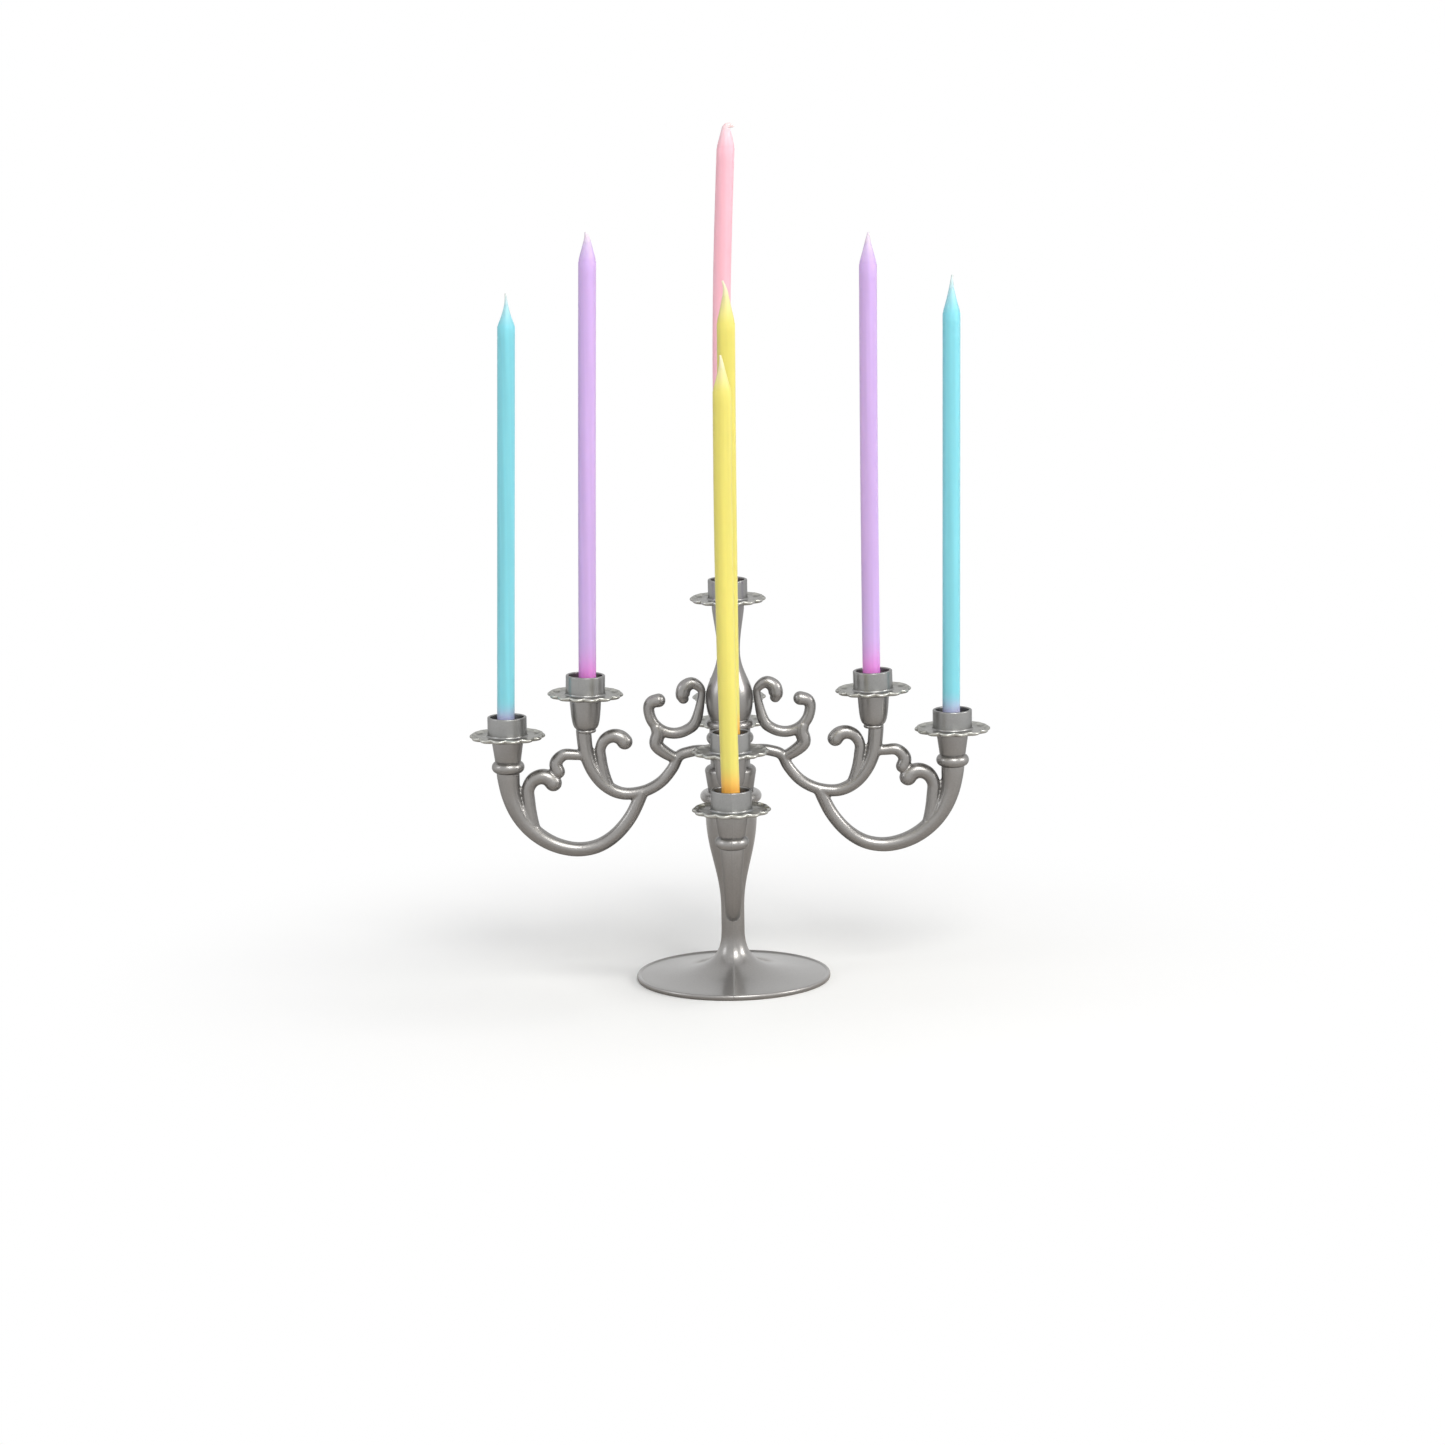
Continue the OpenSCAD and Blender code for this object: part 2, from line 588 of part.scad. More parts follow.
base();
lower_arms();
upper_arms();
finial();
nozzle_top();
nozzle_left_inner();
nozzle_left_outer();
nozzle_right_inner();
nozzle_right_outer();
nozzle_front_inner();
nozzle_front_outer();
nozzle_back_inner();
nozzle_back_outer();
candle_top();
candle_left_inner();
candle_left_outer();
candle_right_inner();
candle_right_outer();
candle_front_inner();
candle_front_outer();
wick_top();
wick_left_inner();
wick_left_outer();
wick_right_inner();
wick_right_outer();
wick_front_inner();
wick_front_outer();
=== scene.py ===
"""Tabletop candelabra for thin cake candles: turned foot and finial, moulded scroll arms, scalloped
drip pans and two-tone dipped candles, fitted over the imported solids."""

import json
import math
from collections import namedtuple

import bmesh
import bpy
from bpy.props import FloatProperty, FloatVectorProperty, IntProperty, PointerProperty
from bpy.types import Operator, Panel, PropertyGroup
from mathutils import Matrix, Vector


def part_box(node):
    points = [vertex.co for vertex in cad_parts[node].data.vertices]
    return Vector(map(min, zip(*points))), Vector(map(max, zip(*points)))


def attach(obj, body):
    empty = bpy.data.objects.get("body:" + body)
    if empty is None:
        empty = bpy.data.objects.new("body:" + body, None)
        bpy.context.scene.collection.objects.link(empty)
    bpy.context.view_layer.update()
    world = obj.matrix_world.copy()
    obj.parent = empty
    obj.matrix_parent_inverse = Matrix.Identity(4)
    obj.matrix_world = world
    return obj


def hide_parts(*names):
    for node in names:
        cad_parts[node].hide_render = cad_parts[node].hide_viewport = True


bl_info = {
    "name": "Tabletop Candelabra",
    "version": (1, 0, 0),
    "blender": (4, 5, 0),
    "location": "View3D > Sidebar > Candelabra",
    "description": "Builds a nine-cup candelabra with scrolled arms and thin candles on its CAD frame",
    "category": "Object",
}

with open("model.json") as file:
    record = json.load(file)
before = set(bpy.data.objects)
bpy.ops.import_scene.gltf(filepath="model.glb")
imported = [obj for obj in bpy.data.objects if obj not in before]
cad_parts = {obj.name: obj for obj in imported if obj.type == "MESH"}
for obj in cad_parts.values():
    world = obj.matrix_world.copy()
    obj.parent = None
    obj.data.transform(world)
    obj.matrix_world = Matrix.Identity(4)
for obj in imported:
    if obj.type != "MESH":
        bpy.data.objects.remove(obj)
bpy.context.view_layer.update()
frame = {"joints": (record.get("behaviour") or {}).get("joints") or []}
MM = 0.001
# Edges sharper than this stay sharp under the smooth shading
CREASE = math.radians(50)

# Which body each nozzle rides on, and how far it leans to the right in degrees
NOZZLES = {
    "top": ("root", 0.0),
    "left_inner": ("upper_tier", 1.5), "left_outer": ("upper_tier", 0.0),
    "right_inner": ("upper_tier", -1.5), "right_outer": ("upper_tier", 0.0),
    "front_inner": ("lower_tier", 0.0), "front_outer": ("lower_tier", 0.0),
    "back_inner": ("lower_tier", 0.0), "back_outer": ("lower_tier", 0.0),
}
# Each candle: its wax, how far it stands and leans to the right in mm and degrees, its bow to the left
# in mm, how far its shoulder and its end are above the solid's in mm, how hollow its cone is, and how
# far its nib curls to the right in degrees
Candle = namedtuple("Candle", "dye shift lean bow shoulder end hollow curl")
CANDLES = {
    "top": Candle("pink", 0.3, 0.56, 1.7, 1.5, 0.7, 0.8, 150),
    "left_inner": Candle("purple", 0.6, 1.2, 0.1, -1.1, -1.7, 0.95, -20),
    "left_outer": Candle("blue", -0.5, 1.45, 0.0, 0.1, 0.5, 1.9, -8),
    "right_inner": Candle("purple", -0.45, 0.1, 0.2, -2.7, -2.6, 1.15, 6),
    "right_outer": Candle("blue", -0.35, 0.45, 0.0, -1.6, 0.3, 1.5, 6),
    "front_inner": Candle("yellow", 0.25, 0.2, 0.2, -3.1, -0.2, 1.3, -24),
    "front_outer": Candle("yellow", 0.0, -0.35, 0.6, -1.3, -0.5, 1.3, -10),
}
# Where the second colour of each wax starts to fade and where it is gone, in millimetres above the seat
FADES = {"blue": (3, 13), "purple": (-2, 20), "pink": (-2, 22), "yellow": (4, 15)}


def linear(hexcode):
    """An sRGB hex colour as linear RGBA."""
    parts = [int(hexcode[i:i + 2], 16) / 255 for i in (1, 3, 5)]
    return tuple(p / 12.92 if p <= 0.04045 else ((p + 0.055) / 1.055) ** 2.4 for p in parts) + (1.0,)


# ------------------------------------------------------------------------------ settings

def size(name, words, default, **more):
    """A length in metres, given here in millimetres."""
    return FloatProperty(name=name, description=words, default=default * MM, unit="LENGTH",
                         precision=5, **more)


def colour(name, words, hexcode):
    return FloatVectorProperty(name=name, description=words, default=linear(hexcode)[:3],
                               subtype="COLOR", size=3, min=0, max=1)


class CandelabraFootSizes(PropertyGroup):
    recess: size("Recess", "Depth of the recess under the foot", 0.8)
    ring_width: size("Foot ring", "Width of the ring that the foot stands on", 3.0)
    edge: size("Edge", "Thickness of the rounded bead at the foot's edge", 1.6)
    surface: size("Foot surface", "Height of the foot's surface just inside that bead", 1.25)
    stem_radius: size("Stem", "Radius of the stem at its thinnest", 3.4)
    flare_top: size("Flare top", "Height at which the foot has narrowed to the stem", 15.0)
    vase_start: size("Vase start", "Height at which the stem starts to widen", 21.0)
    vase_top: size("Vase top", "Height of the top of the vase", 49.0)
    vase_radius: size("Vase radius", "Radius of the vase at its top", 7.5)
    ring_radius: size("Ring radius", "Radius of the ring at the top of the stem", 9.0)
    ring_height: size("Ring height", "Thickness of that ring", 3.4)
    spigot_radius: size("Spigot radius", "Radius of the spigot that the arms turn on", 2.8)
    neck_radius: size("Neck radius", "Radius of the finial's neck at its thinnest", 3.3)
    neck_height: size("Neck height", "Height of the neck's thinnest place in the finial", 23.2)
    bulb_height: size("Bulb height", "Height of the bulb's widest place in the finial", 9.2)
    crown_ring: size("Crown ring", "Height of the finial's bottom ring", 3.1)
    finial_top: size("Finial top", "Radius of the finial's top", 4.7)


class CandelabraArmSizes(PropertyGroup):
    outer_reach: size("Outer reach", "Distance from the axis to the outer nozzles", 65.0)
    inner_reach: size("Inner reach", "Distance from the axis to the inner nozzles", 42.0)
    root_height: size("Root height", "Height of the arm's root above the bottom of the hub", 2.6)
    outer_dip: size("Outer dip", "How far the outer arm dips below the hub", 26.4)
    inner_dip: size("Inner dip", "How far the inner arm dips below the hub", 10.0)
    outer_low: size("Outer low point", "Distance from the axis to the outer arm's lowest point", 44.2)
    inner_low: size("Inner low point", "Distance from the axis to the inner arm's lowest point", 30.0)
    outer_thick: size("Outer arm", "Radius of the outer arm under its socket", 3.35)
    outer_thin: size("Outer tail", "Radius of the outer arm where it joins the inner arm", 1.9)
    inner_thick: size("Inner arm", "Radius of the inner arm under its socket", 2.25)
    inner_thin: size("Inner tail", "Radius of the inner arm at the hub", 1.65)
    outer_leaf: size("Outer leaf", "Radius of the leaf scroll's stem on the outer arm", 1.95)
    outer_leaf_end: size("Outer leaf end", "Radius of that leaf scroll at its curled end", 2.55)
    inner_leaf: size("Inner leaf", "Radius of the leaf scroll's stem on the inner arm", 1.6)
    inner_leaf_end: size("Inner leaf end", "Radius of that leaf scroll at its curled end", 2.35)
    scroll_rod: size("Scroll rod", "Radius of the big scroll along its bowl", 1.65)
    scroll_hook: size("Scroll hook", "Radius of the big scroll at its hooked end", 2.05)
    scroll_waist: size("Scroll waist", "Radius of the big scroll beside the finial", 1.1)
    scroll_curl: size("Scroll curl", "Radius of the big scroll in its curl", 2.1)
    bowl_radius: size("Bowl radius", "Radius of the big scroll's bowl", 7.4)
    bowl_height: size("Bowl height", "Height of the bowl's middle above the bottom of the hub", 15.2)
    scroll_gap: size("Scroll gap", "Clearance between the big scroll and the crown", 0.1)
    crown_radius: size("Crown radius", "Largest radius of the upper hub and of the finial", 6.9)
    waist_radius: size("Waist radius", "Radius of the hubs at the arms' roots", 6.2)
    shoulder_radius: size("Shoulder radius", "Radius of the lower hub at its shoulder", 7.5)
    arm_link: size("Arm link", "Radius of the links between the leaf scrolls and the inner arms", 1.6)
    arm_link_end: size("Arm link end", "Radius of those links at their curled ends", 2.05)
    scroll_link: size("Scroll link", "Radius of the links below the big scrolls", 2.05)
    socket_radius: size("Socket radius", "Radius of the sockets at their seat", 4.6)
    skin: size("Skin", "Grain of the moulded skin; finer is slower", 0.27)
    soften: IntProperty(name="Soften", description="How often the skin is evened out, which rounds the "
                        "inner corners where rods meet", default=7, min=0, max=30)


class CandelabraNozzleSizes(PropertyGroup):
    plug_length: size("Plug length", "Length of a nozzle's plug", 5.2)
    plug_radius: size("Plug radius", "Radius of a nozzle's plug", 3.15)
    hole_radius: size("Hole radius", "Radius of the hole that holds a candle", 2.6)
    hole_depth: size("Hole depth", "Depth of the candle hole below the seat", 4.4)
    cup_radius: size("Cup radius", "Outer radius of a candle cup", 5.75)
    cup_wall: size("Cup wall", "Wall of a candle cup", 0.85)
    cup_floor: size("Cup floor", "Height of a candle cup's floor above the seat", 1.6)
    pan_height: size("Pan height", "Height of a drip pan's edge", 1.6)
    pan_floor: size("Pan floor", "Thickness of a drip pan inside its edge", 0.9)
    notch: size("Notch", "Depth of the notches between the scallops", 0.8)
    wave: size("Wave", "How far the edge waves up and down", 0.34)
    lobes: IntProperty(name="Scallops", description="Number of scallops on a drip pan",
                       default=14, min=8, max=20)


class CandelabraCandleSizes(PropertyGroup):
    radius: size("Radius", "Radius of a candle", 2.57)
    tip_length: size("Tip", "Length of a candle's tapered tip", 5.0)
    nib_radius: size("Nib radius", "Radius at the very end of a wick", 0.28)


class CandelabraColours(PropertyGroup):
    silver: colour("Silver", "Moulded silver-grey plastic", "#949290")
    # The pan colour is a painted reflection: a paler grey than the cups' plastic, standing in for the
    # bright surroundings that the upturned pans reflect
    pale_silver: colour("Pale silver", "Plastic of the nozzles' cups", "#939392")
    pan: colour("Pan", "Plastic of the nozzles' pans", "#b4b4ae")
    blue: colour("Blue", "Blue wax", "#86d6e4")
    blue_foot: colour("Blue foot", "Blue wax at the foot", "#cdbfe6")
    purple: colour("Purple", "Purple wax", "#d0b2e9")
    purple_foot: colour("Purple foot", "Purple wax at the foot", "#f07adc")
    pink: colour("Pink", "Pink wax", "#f9bfcd")
    pink_foot: colour("Pink foot", "Pink wax at the foot", "#fdb6c8")
    yellow: colour("Yellow", "Yellow wax", "#e6dc74")
    yellow_foot: colour("Yellow foot", "Yellow wax at the foot", "#ffb852")
    wick: colour("Wick", "Waxed cotton wick", "#ece6e0")
    floor: colour("Floor", "Floor and backdrop", "#fbfbfa")


GROUPS = (("candelabra_foot", CandelabraFootSizes), ("candelabra_arm", CandelabraArmSizes),
          ("candelabra_nozzle", CandelabraNozzleSizes), ("candelabra_candle", CandelabraCandleSizes),
          ("candelabra_colours", CandelabraColours))


class Millimetres:
    """Reads a property group's lengths in millimetres."""

    def __init__(self, group):
        self.group = group

    def __getattr__(self, name):
        value = getattr(self.group, name)
        return value / MM if isinstance(value, float) else value


# ------------------------------------------------------------------------------ curves

def lerp(a, b, t):
    return a + (b - a) * t


def polar(centre, radius, degrees):
    a = math.radians(degrees)
    return (centre[0] + radius * math.cos(a), centre[1] + radius * math.sin(a))


def shifted(point, step):
    return (point[0] + step[0], point[1] + step[1])


def arc(centre, rx, ry, start, end, count):
    """Points along an arc of an ellipse, with its end points."""
    turns = [math.radians(lerp(start, end, i / count)) for i in range(count + 1)]
    return [(centre[0] + rx * math.cos(a), centre[1] + ry * math.sin(a)) for a in turns]


def bow(p, q, s, t, count):
    """Points along a cubic curve with two handles, without its last point."""
    points = []
    for i in range(count):
        u = i / count
        v = 1 - u
        points.append(tuple(v ** 3 * a + 3 * v * v * u * b + 3 * v * u * u * c + u ** 3 * d
                            for a, b, c, d in zip(p, q, s, t)))
    return points


def smooth_path(stations, rings=5):
    """The stations with rings between them, on the smooth line that runs through all of them."""
    path = []
    last = len(stations) - 1
    for i in range(last):
        a, b, c, d = (Vector(stations[k]) for k in (max(i - 1, 0), i, i + 1, min(i + 2, last)))
        for j in range(rings):
            t = j / rings
            path.append(0.5 * (2 * b + (c - a) * t + (2 * a - 5 * b + 4 * c - d) * t * t
                               + (3 * b - a - 3 * c + d) * t ** 3))
    return path + [Vector(stations[last])]


# ------------------------------------------------------------------------------ mesh tools

def turn(bm, outline, steps, at):
    """Spins an outline of (radius, height) points round an upright axis, all in millimetres."""
    verts = [bm.verts.new((at[0] + x, at[1], at[2] + z)) for x, z in outline]
    edges = [bm.edges.new(pair) for pair in zip(verts, verts[1:])]
    bmesh.ops.spin(bm, geom=verts + edges, cent=at, axis=(0, 0, 1), angle=2 * math.pi, steps=steps,
                   use_merge=True)


def sweep(bm, stations, sides=20):
    """A round rod along stations (x, z, radius) in the XZ plane, made by extruding one circle."""
    path = smooth_path(stations)
    last = len(path) - 1

    def place(i):
        ahead = path[min(i + 1, last)] - path[max(i - 1, 0)]
        along = Vector((ahead[0], 0, ahead[1])).normalized()
        across = Vector((0, 1, 0))
        up = along.cross(across)
        x, z, r = path[i]
        turned = Matrix((across, up, along)).transposed().to_4x4()
        return Matrix.Translation((x, 0, z)) @ turned @ Matrix.Scale(r, 4)

    ring = bmesh.ops.create_circle(bm, segments=sides, radius=1)["verts"]
    bmesh.ops.transform(bm, matrix=place(0), verts=ring)
    edges = list({e for v in ring for e in v.link_edges})
    bmesh.ops.contextual_create(bm, geom=edges)
    for i in range(1, last + 1):
        made = bmesh.ops.extrude_edge_only(bm, edges=edges)["geom"]
        ring = [g for g in made if isinstance(g, bmesh.types.BMVert)]
        edges = [g for g in made if isinstance(g, bmesh.types.BMEdge)
                 and all(v in ring for v in g.verts)]
        bmesh.ops.transform(bm, matrix=place(i) @ place(i - 1).inverted(), verts=ring)
    bmesh.ops.contextual_create(bm, geom=edges)


def knob(bm, at, radius):
    """A ball that closes the end of a rod."""
    bmesh.ops.create_icosphere(bm, subdivisions=3, radius=radius,
                               matrix=Matrix.Translation((at[0], 0, at[1])))


def clean(bm, distance=0.004):
    """Merges what lies closer than the distance, in millimetres, and turns the faces outwards."""
    bmesh.ops.remove_doubles(bm, verts=bm.verts, dist=distance)
    bmesh.ops.recalc_face_normals(bm, faces=bm.faces)


def soften_edges(bm, width, limit=35, segments=2):
    """Rounds every edge that is sharper than the limit."""
    sharp = [e for e in bm.edges
             if len(e.link_faces) == 2 and e.calc_face_angle(0) > math.radians(limit)]
    bmesh.ops.bevel(bm, geom=sharp, offset=width, offset_type="OFFSET", segments=segments, profile=0.5,
                    affect="EDGES", clamp_overlap=True, material=-1)


def new_object(name, bm):
    """Ends a bmesh as a mesh object in the scene."""
    mesh = bpy.data.meshes.new(name)
    bm.to_mesh(mesh)
    bm.free()
    obj = bpy.data.objects.new(name, mesh)
    bpy.context.scene.collection.objects.link(obj)
    return obj


def turned(outline, rounding=0.0, steps=96, at=(0, 0, 0)):
    """A bmesh turned from an outline, closed, with its sharp edges rounded by that width."""
    bm = bmesh.new()
    turn(bm, outline, steps, at)
    clean(bm)
    if rounding:
        soften_edges(bm, rounding)
    return bm


def skin_over(bm, grain, rounds):
    """Joins overlapping rods into one skin, with soft inner corners as a mould leaves them."""
    raw = new_object("skin", bm)
    mesh = raw.data
    remesh = raw.modifiers.new("Skin", "REMESH")
    remesh.mode = "VOXEL"
    remesh.voxel_size = grain
    bpy.context.view_layer.update()
    joined = bmesh.new()
    joined.from_object(raw, bpy.context.evaluated_depsgraph_get())
    bpy.data.objects.remove(raw)
    bpy.data.meshes.remove(mesh)
    # Each round evens the skin and then swells it back, so that thin rods keep their thickness
    even, swell = 0.5, -0.51
    for factor in (even, swell) * rounds:
        bmesh.ops.smooth_vert(joined, verts=joined.verts, factor=factor, use_axis_x=True,
                              use_axis_y=True, use_axis_z=True)
    return joined


def piece(bm, name, body, nodes, material, turn_by=0.0, move=(0, 0, 0)):
    """Makes the finished object: metres, smooth, at the origin, riding on its body."""
    bmesh.ops.transform(bm, matrix=Matrix.Scale(MM, 4) @ Matrix.Translation(move)
                        @ Matrix.Rotation(math.radians(turn_by), 4, "Z"), verts=bm.verts)
    obj = new_object(name, bm)
    for polygon in obj.data.polygons:
        polygon.use_smooth = True
    obj.data.set_sharp_from_angle(angle=CREASE)
    obj.data.materials.append(material)
    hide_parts(*nodes)
    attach(obj, body)


def middle(node):
    """Centre of a CAD node in plan, and its lowest and highest level, in millimetres."""
    low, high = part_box(node)
    return (low.x + high.x) / 2 / MM, (low.y + high.y) / 2 / MM, low.z / MM, high.z / MM


def joint_height(name):
    for joint in frame["joints"]:
        if joint["name"] == name:
            return joint["pos_m"][2] / MM
    raise RuntimeError(f"the frame has no joint {name}")


def plug_hole(nozzle, seat=0.0):
    """The blind hole under a seat that takes a nozzle's plug, as the end of an outline."""
    floor = seat - nozzle.plug_length
    return [(nozzle.plug_radius, seat), (nozzle.plug_radius, floor), (0, floor)]


# ------------------------------------------------------------------------------ materials

# A colour Mix node's two colours and its colour output go by number
MIX_A, MIX_B, MIX_OUT = 6, 7, 2
WHITE = linear("#ffffff")
# What thin wax tends to
PALE = linear("#efefef")


def node(tree, kind, links=(), **settings):
    """Adds a node. A setting named after a socket sets that socket, and any other sets the node. Each
    link is a socket's name or number and what goes in: a node's output, a node for its first output, or
    a constant."""
    made = tree.nodes.new(kind)
    for key, value in settings.items():
        if hasattr(made, key):
            setattr(made, key, value)
        else:
            made.inputs[key.replace("_", " ")].default_value = value
    for socket, source in links:
        if isinstance(source, bpy.types.Node):
            source = source.outputs[0]
        if isinstance(source, bpy.types.NodeSocket):
            tree.links.new(source, made.inputs[socket])
        else:
            made.inputs[socket].default_value = source
    return made


def new_material(name):
    material = bpy.data.materials.new(name)
    material.use_nodes = True
    material.node_tree.nodes.clear()
    return material, material.node_tree


def shaded(tint, factor):
    """A darker or lighter colour, as RGBA."""
    return (*(min(1, c * factor) for c in tint), 1)


def blended(a, b, share):
    """A colour between two, as RGBA."""
    return (*(lerp(p, q, share) for p, q in zip(a, b)), 1)


def plastic(name, tint, axis, shine=0.35, edge=0.22, pan_tint=None):
    """Silver-pigmented ABS, injection moulded: a satin metallic grey with a fine orange-peel skin,
    slightly uneven gloss, and a thin raised parting line where the halves of the mould met."""
    material, tree = new_material(name)
    where = node(tree, "ShaderNodeTexCoord").outputs["Object"]
    # Metal flake in the pigment, about 0.5 mm across
    flake = node(tree, "ShaderNodeTexNoise", [("Vector", where)], Scale=1 / (0.5 * MM), Detail=2.0,
                 Roughness=0.6)
    # Flow marks of the moulding, about 9 mm long
    flow = node(tree, "ShaderNodeTexNoise", [("Vector", where)], Scale=1 / (9 * MM), Detail=3.0,
                Roughness=0.55)
    both = node(tree, "ShaderNodeMath", [(0, flake), (1, flow)], operation="ADD")
    shade = node(tree, "ShaderNodeMapRange", [("Value", both)], From_Min=0.75, From_Max=1.25)
    base = node(tree, "ShaderNodeMix", [("Factor", shade), (MIX_A, shaded(tint, 0.94)),
                                        (MIX_B, shaded(tint, 1.05))], data_type="RGBA")
    # Painted reflection: the drip pans get a paler colour than the cups, standing in for the bright
    # surroundings that their upturned faces reflect
    pan = node(tree, "ShaderNodeAttribute", attribute_name="pan").outputs["Fac"]
    face = node(tree, "ShaderNodeMix", [("Factor", pan), (MIX_A, base.outputs[MIX_OUT]),
                                        (MIX_B, (*(pan_tint or tint), 1))], data_type="RGBA")
    rough = node(tree, "ShaderNodeMapRange", [("Value", flow)], From_Min=0.3, From_Max=0.7,
                 To_Min=shine - 0.03, To_Max=shine + 0.04)
    # Orange peel, about 3 mm across and a few micrometres high
    peel = node(tree, "ShaderNodeTexNoise", [("Vector", where)], Scale=1 / (3 * MM), Detail=0.0)
    dimples = node(tree, "ShaderNodeBump", [("Height", peel)], Strength=0.3, Distance=0.006 * MM)
    # Parting line, 0.6 mm wide and 0.1 mm high: drawn wider than the real hair line so that it shows
    parts = node(tree, "ShaderNodeSeparateXYZ", [("Vector", where)])
    off = node(tree, "ShaderNodeMath", [(0, parts.outputs[axis])], operation="ABSOLUTE")
    ridge = node(tree, "ShaderNodeMapRange", [("Value", off)], interpolation_type="SMOOTHSTEP",
                 From_Min=0.0, From_Max=0.3 * MM, To_Min=1.0, To_Max=0.0)
    seam = node(tree, "ShaderNodeBump", [("Height", ridge), ("Normal", dimples)], Strength=0.8,
                Distance=0.1 * MM)
    # The tint is for grazing views: flakes lie along the skin, so a thin wall goes darker to its edges
    skin = node(tree, "ShaderNodeBsdfPrincipled",
                [("Base Color", face.outputs[MIX_OUT]), ("Roughness", rough), ("Normal", seam)],
                Metallic=0.9, Specular_Tint=(edge, edge, edge, 1), Coat_Weight=0.6, Coat_Roughness=0.14,
                Coat_IOR=1.5)
    node(tree, "ShaderNodeOutputMaterial", [("Surface", skin)])
    return material


def wax(name, top, foot, fades):
    """Paraffin candle wax, drawn and dipped: smooth, softly translucent, with a sheen and faint streaks
    along it, its foot dyed a second colour that fades up into the first, and a paler tip where the wax
    thins."""
    material, tree = new_material(name)
    where = node(tree, "ShaderNodeTexCoord").outputs["Object"]
    rise = node(tree, "ShaderNodeAttribute", attribute_name="rise").outputs["Fac"]
    # Uneven dye, about 6 mm across, which moves the fade up and down by a millimetre
    cloud = node(tree, "ShaderNodeTexNoise", [("Vector", where)], Scale=1 / (6 * MM), Detail=2.0)
    drift = node(tree, "ShaderNodeMath", [(0, cloud), (1, 2.0), (2, -1.0)], operation="MULTIPLY_ADD")
    level = node(tree, "ShaderNodeMath", [(0, rise), (1, drift)], operation="ADD")
    fade = node(tree, "ShaderNodeMapRange", [("Value", level)], interpolation_type="SMOOTHERSTEP",
                From_Min=fades[0], From_Max=fades[1])
    body = node(tree, "ShaderNodeMix", [("Factor", fade), (MIX_A, (*foot, 1)), (MIX_B, (*top, 1))],
                data_type="RGBA")
    thin = node(tree, "ShaderNodeAttribute", attribute_name="thin").outputs["Fac"]
    tip = node(tree, "ShaderNodeMix", [("Factor", thin), (MIX_A, body.outputs[MIX_OUT]),
                                       (MIX_B, blended(top, PALE, 0.5))], data_type="RGBA")
    # The die leaves faint streaks along the candle, about 1.5 mm apart and 75 mm long
    drawn = node(tree, "ShaderNodeMapping", [("Vector", where)], Scale=(1, 1, 0.02))
    streaks = node(tree, "ShaderNodeTexNoise", [("Vector", drawn)], Scale=1 / (1.5 * MM), Detail=1.0)
    shade = node(tree, "ShaderNodeMapRange", [("Value", streaks)], From_Min=0.35, From_Max=0.65,
                 To_Min=0.94, To_Max=1.03)
    dyed = node(tree, "ShaderNodeHueSaturation", [("Color", tip.outputs[MIX_OUT]), ("Value", shade)])
    # Dipping leaves a lumpy skin, 2.2 mm across
    lumps = node(tree, "ShaderNodeTexNoise", [("Vector", where)], Scale=1 / (2.2 * MM), Detail=1.5)
    lumpy = node(tree, "ShaderNodeBump", [("Height", lumps)], Strength=0.5, Distance=0.05 * MM)
    bump = node(tree, "ShaderNodeBump", [("Height", streaks), ("Normal", lumpy)], Strength=0.5,
                Distance=0.06 * MM)
    rough = node(tree, "ShaderNodeMapRange", [("Value", cloud)], From_Min=0.3, From_Max=0.7,
                 To_Min=0.38, To_Max=0.48)
    skin = node(tree, "ShaderNodeBsdfPrincipled",
                [("Base Color", dyed), ("Roughness", rough), ("Normal", bump)], IOR=1.44,
                Subsurface_Weight=0.35, Subsurface_Radius=(1.0, 0.8, 0.7), Subsurface_Scale=1.2 * MM)
    node(tree, "ShaderNodeOutputMaterial", [("Surface", skin)])
    return material


def waxed_cotton(name, tint, dye):
    """Braided cotton wick soaked in the candle's wax: pale dye where it leaves the cone, greyer to its
    end, with the braid's slant showing through."""
    material, tree = new_material(name)
    where = node(tree, "ShaderNodeTexCoord").outputs["Object"]
    slant = node(tree, "ShaderNodeMapping", [("Vector", where)], Rotation=(0.6, 0.4, 0.0))
    # The braid's strands are too fine to show, so it is drawn coarser, with a wave every 2.83 mm. A
    # wave's phase is 20 times the scaled length
    braid = node(tree, "ShaderNodeTexWave", [("Vector", slant)], Scale=math.tau / (20 * 2.83 * MM),
                 Distortion=1.5, bands_direction="Z")
    thin = node(tree, "ShaderNodeAttribute", attribute_name="thin").outputs["Fac"]
    fade = node(tree, "ShaderNodeMapRange", [("Value", thin)], From_Min=0.55, From_Max=1.0)
    base = node(tree, "ShaderNodeMix", [("Factor", fade), (MIX_A, blended(dye, PALE, 0.3)),
                                        (MIX_B, blended(tint, dye, 0.25))], data_type="RGBA")
    bump = node(tree, "ShaderNodeBump", [("Height", braid.outputs["Fac"])], Strength=0.3,
                Distance=0.04 * MM)
    skin = node(tree, "ShaderNodeBsdfPrincipled",
                [("Base Color", base.outputs[MIX_OUT]), ("Normal", bump)], Roughness=0.5, IOR=1.44,
                Subsurface_Weight=0.3, Subsurface_Radius=(1.0, 0.9, 0.8), Subsurface_Scale=0.6 * MM)
    node(tree, "ShaderNodeOutputMaterial", [("Surface", skin)])
    return material


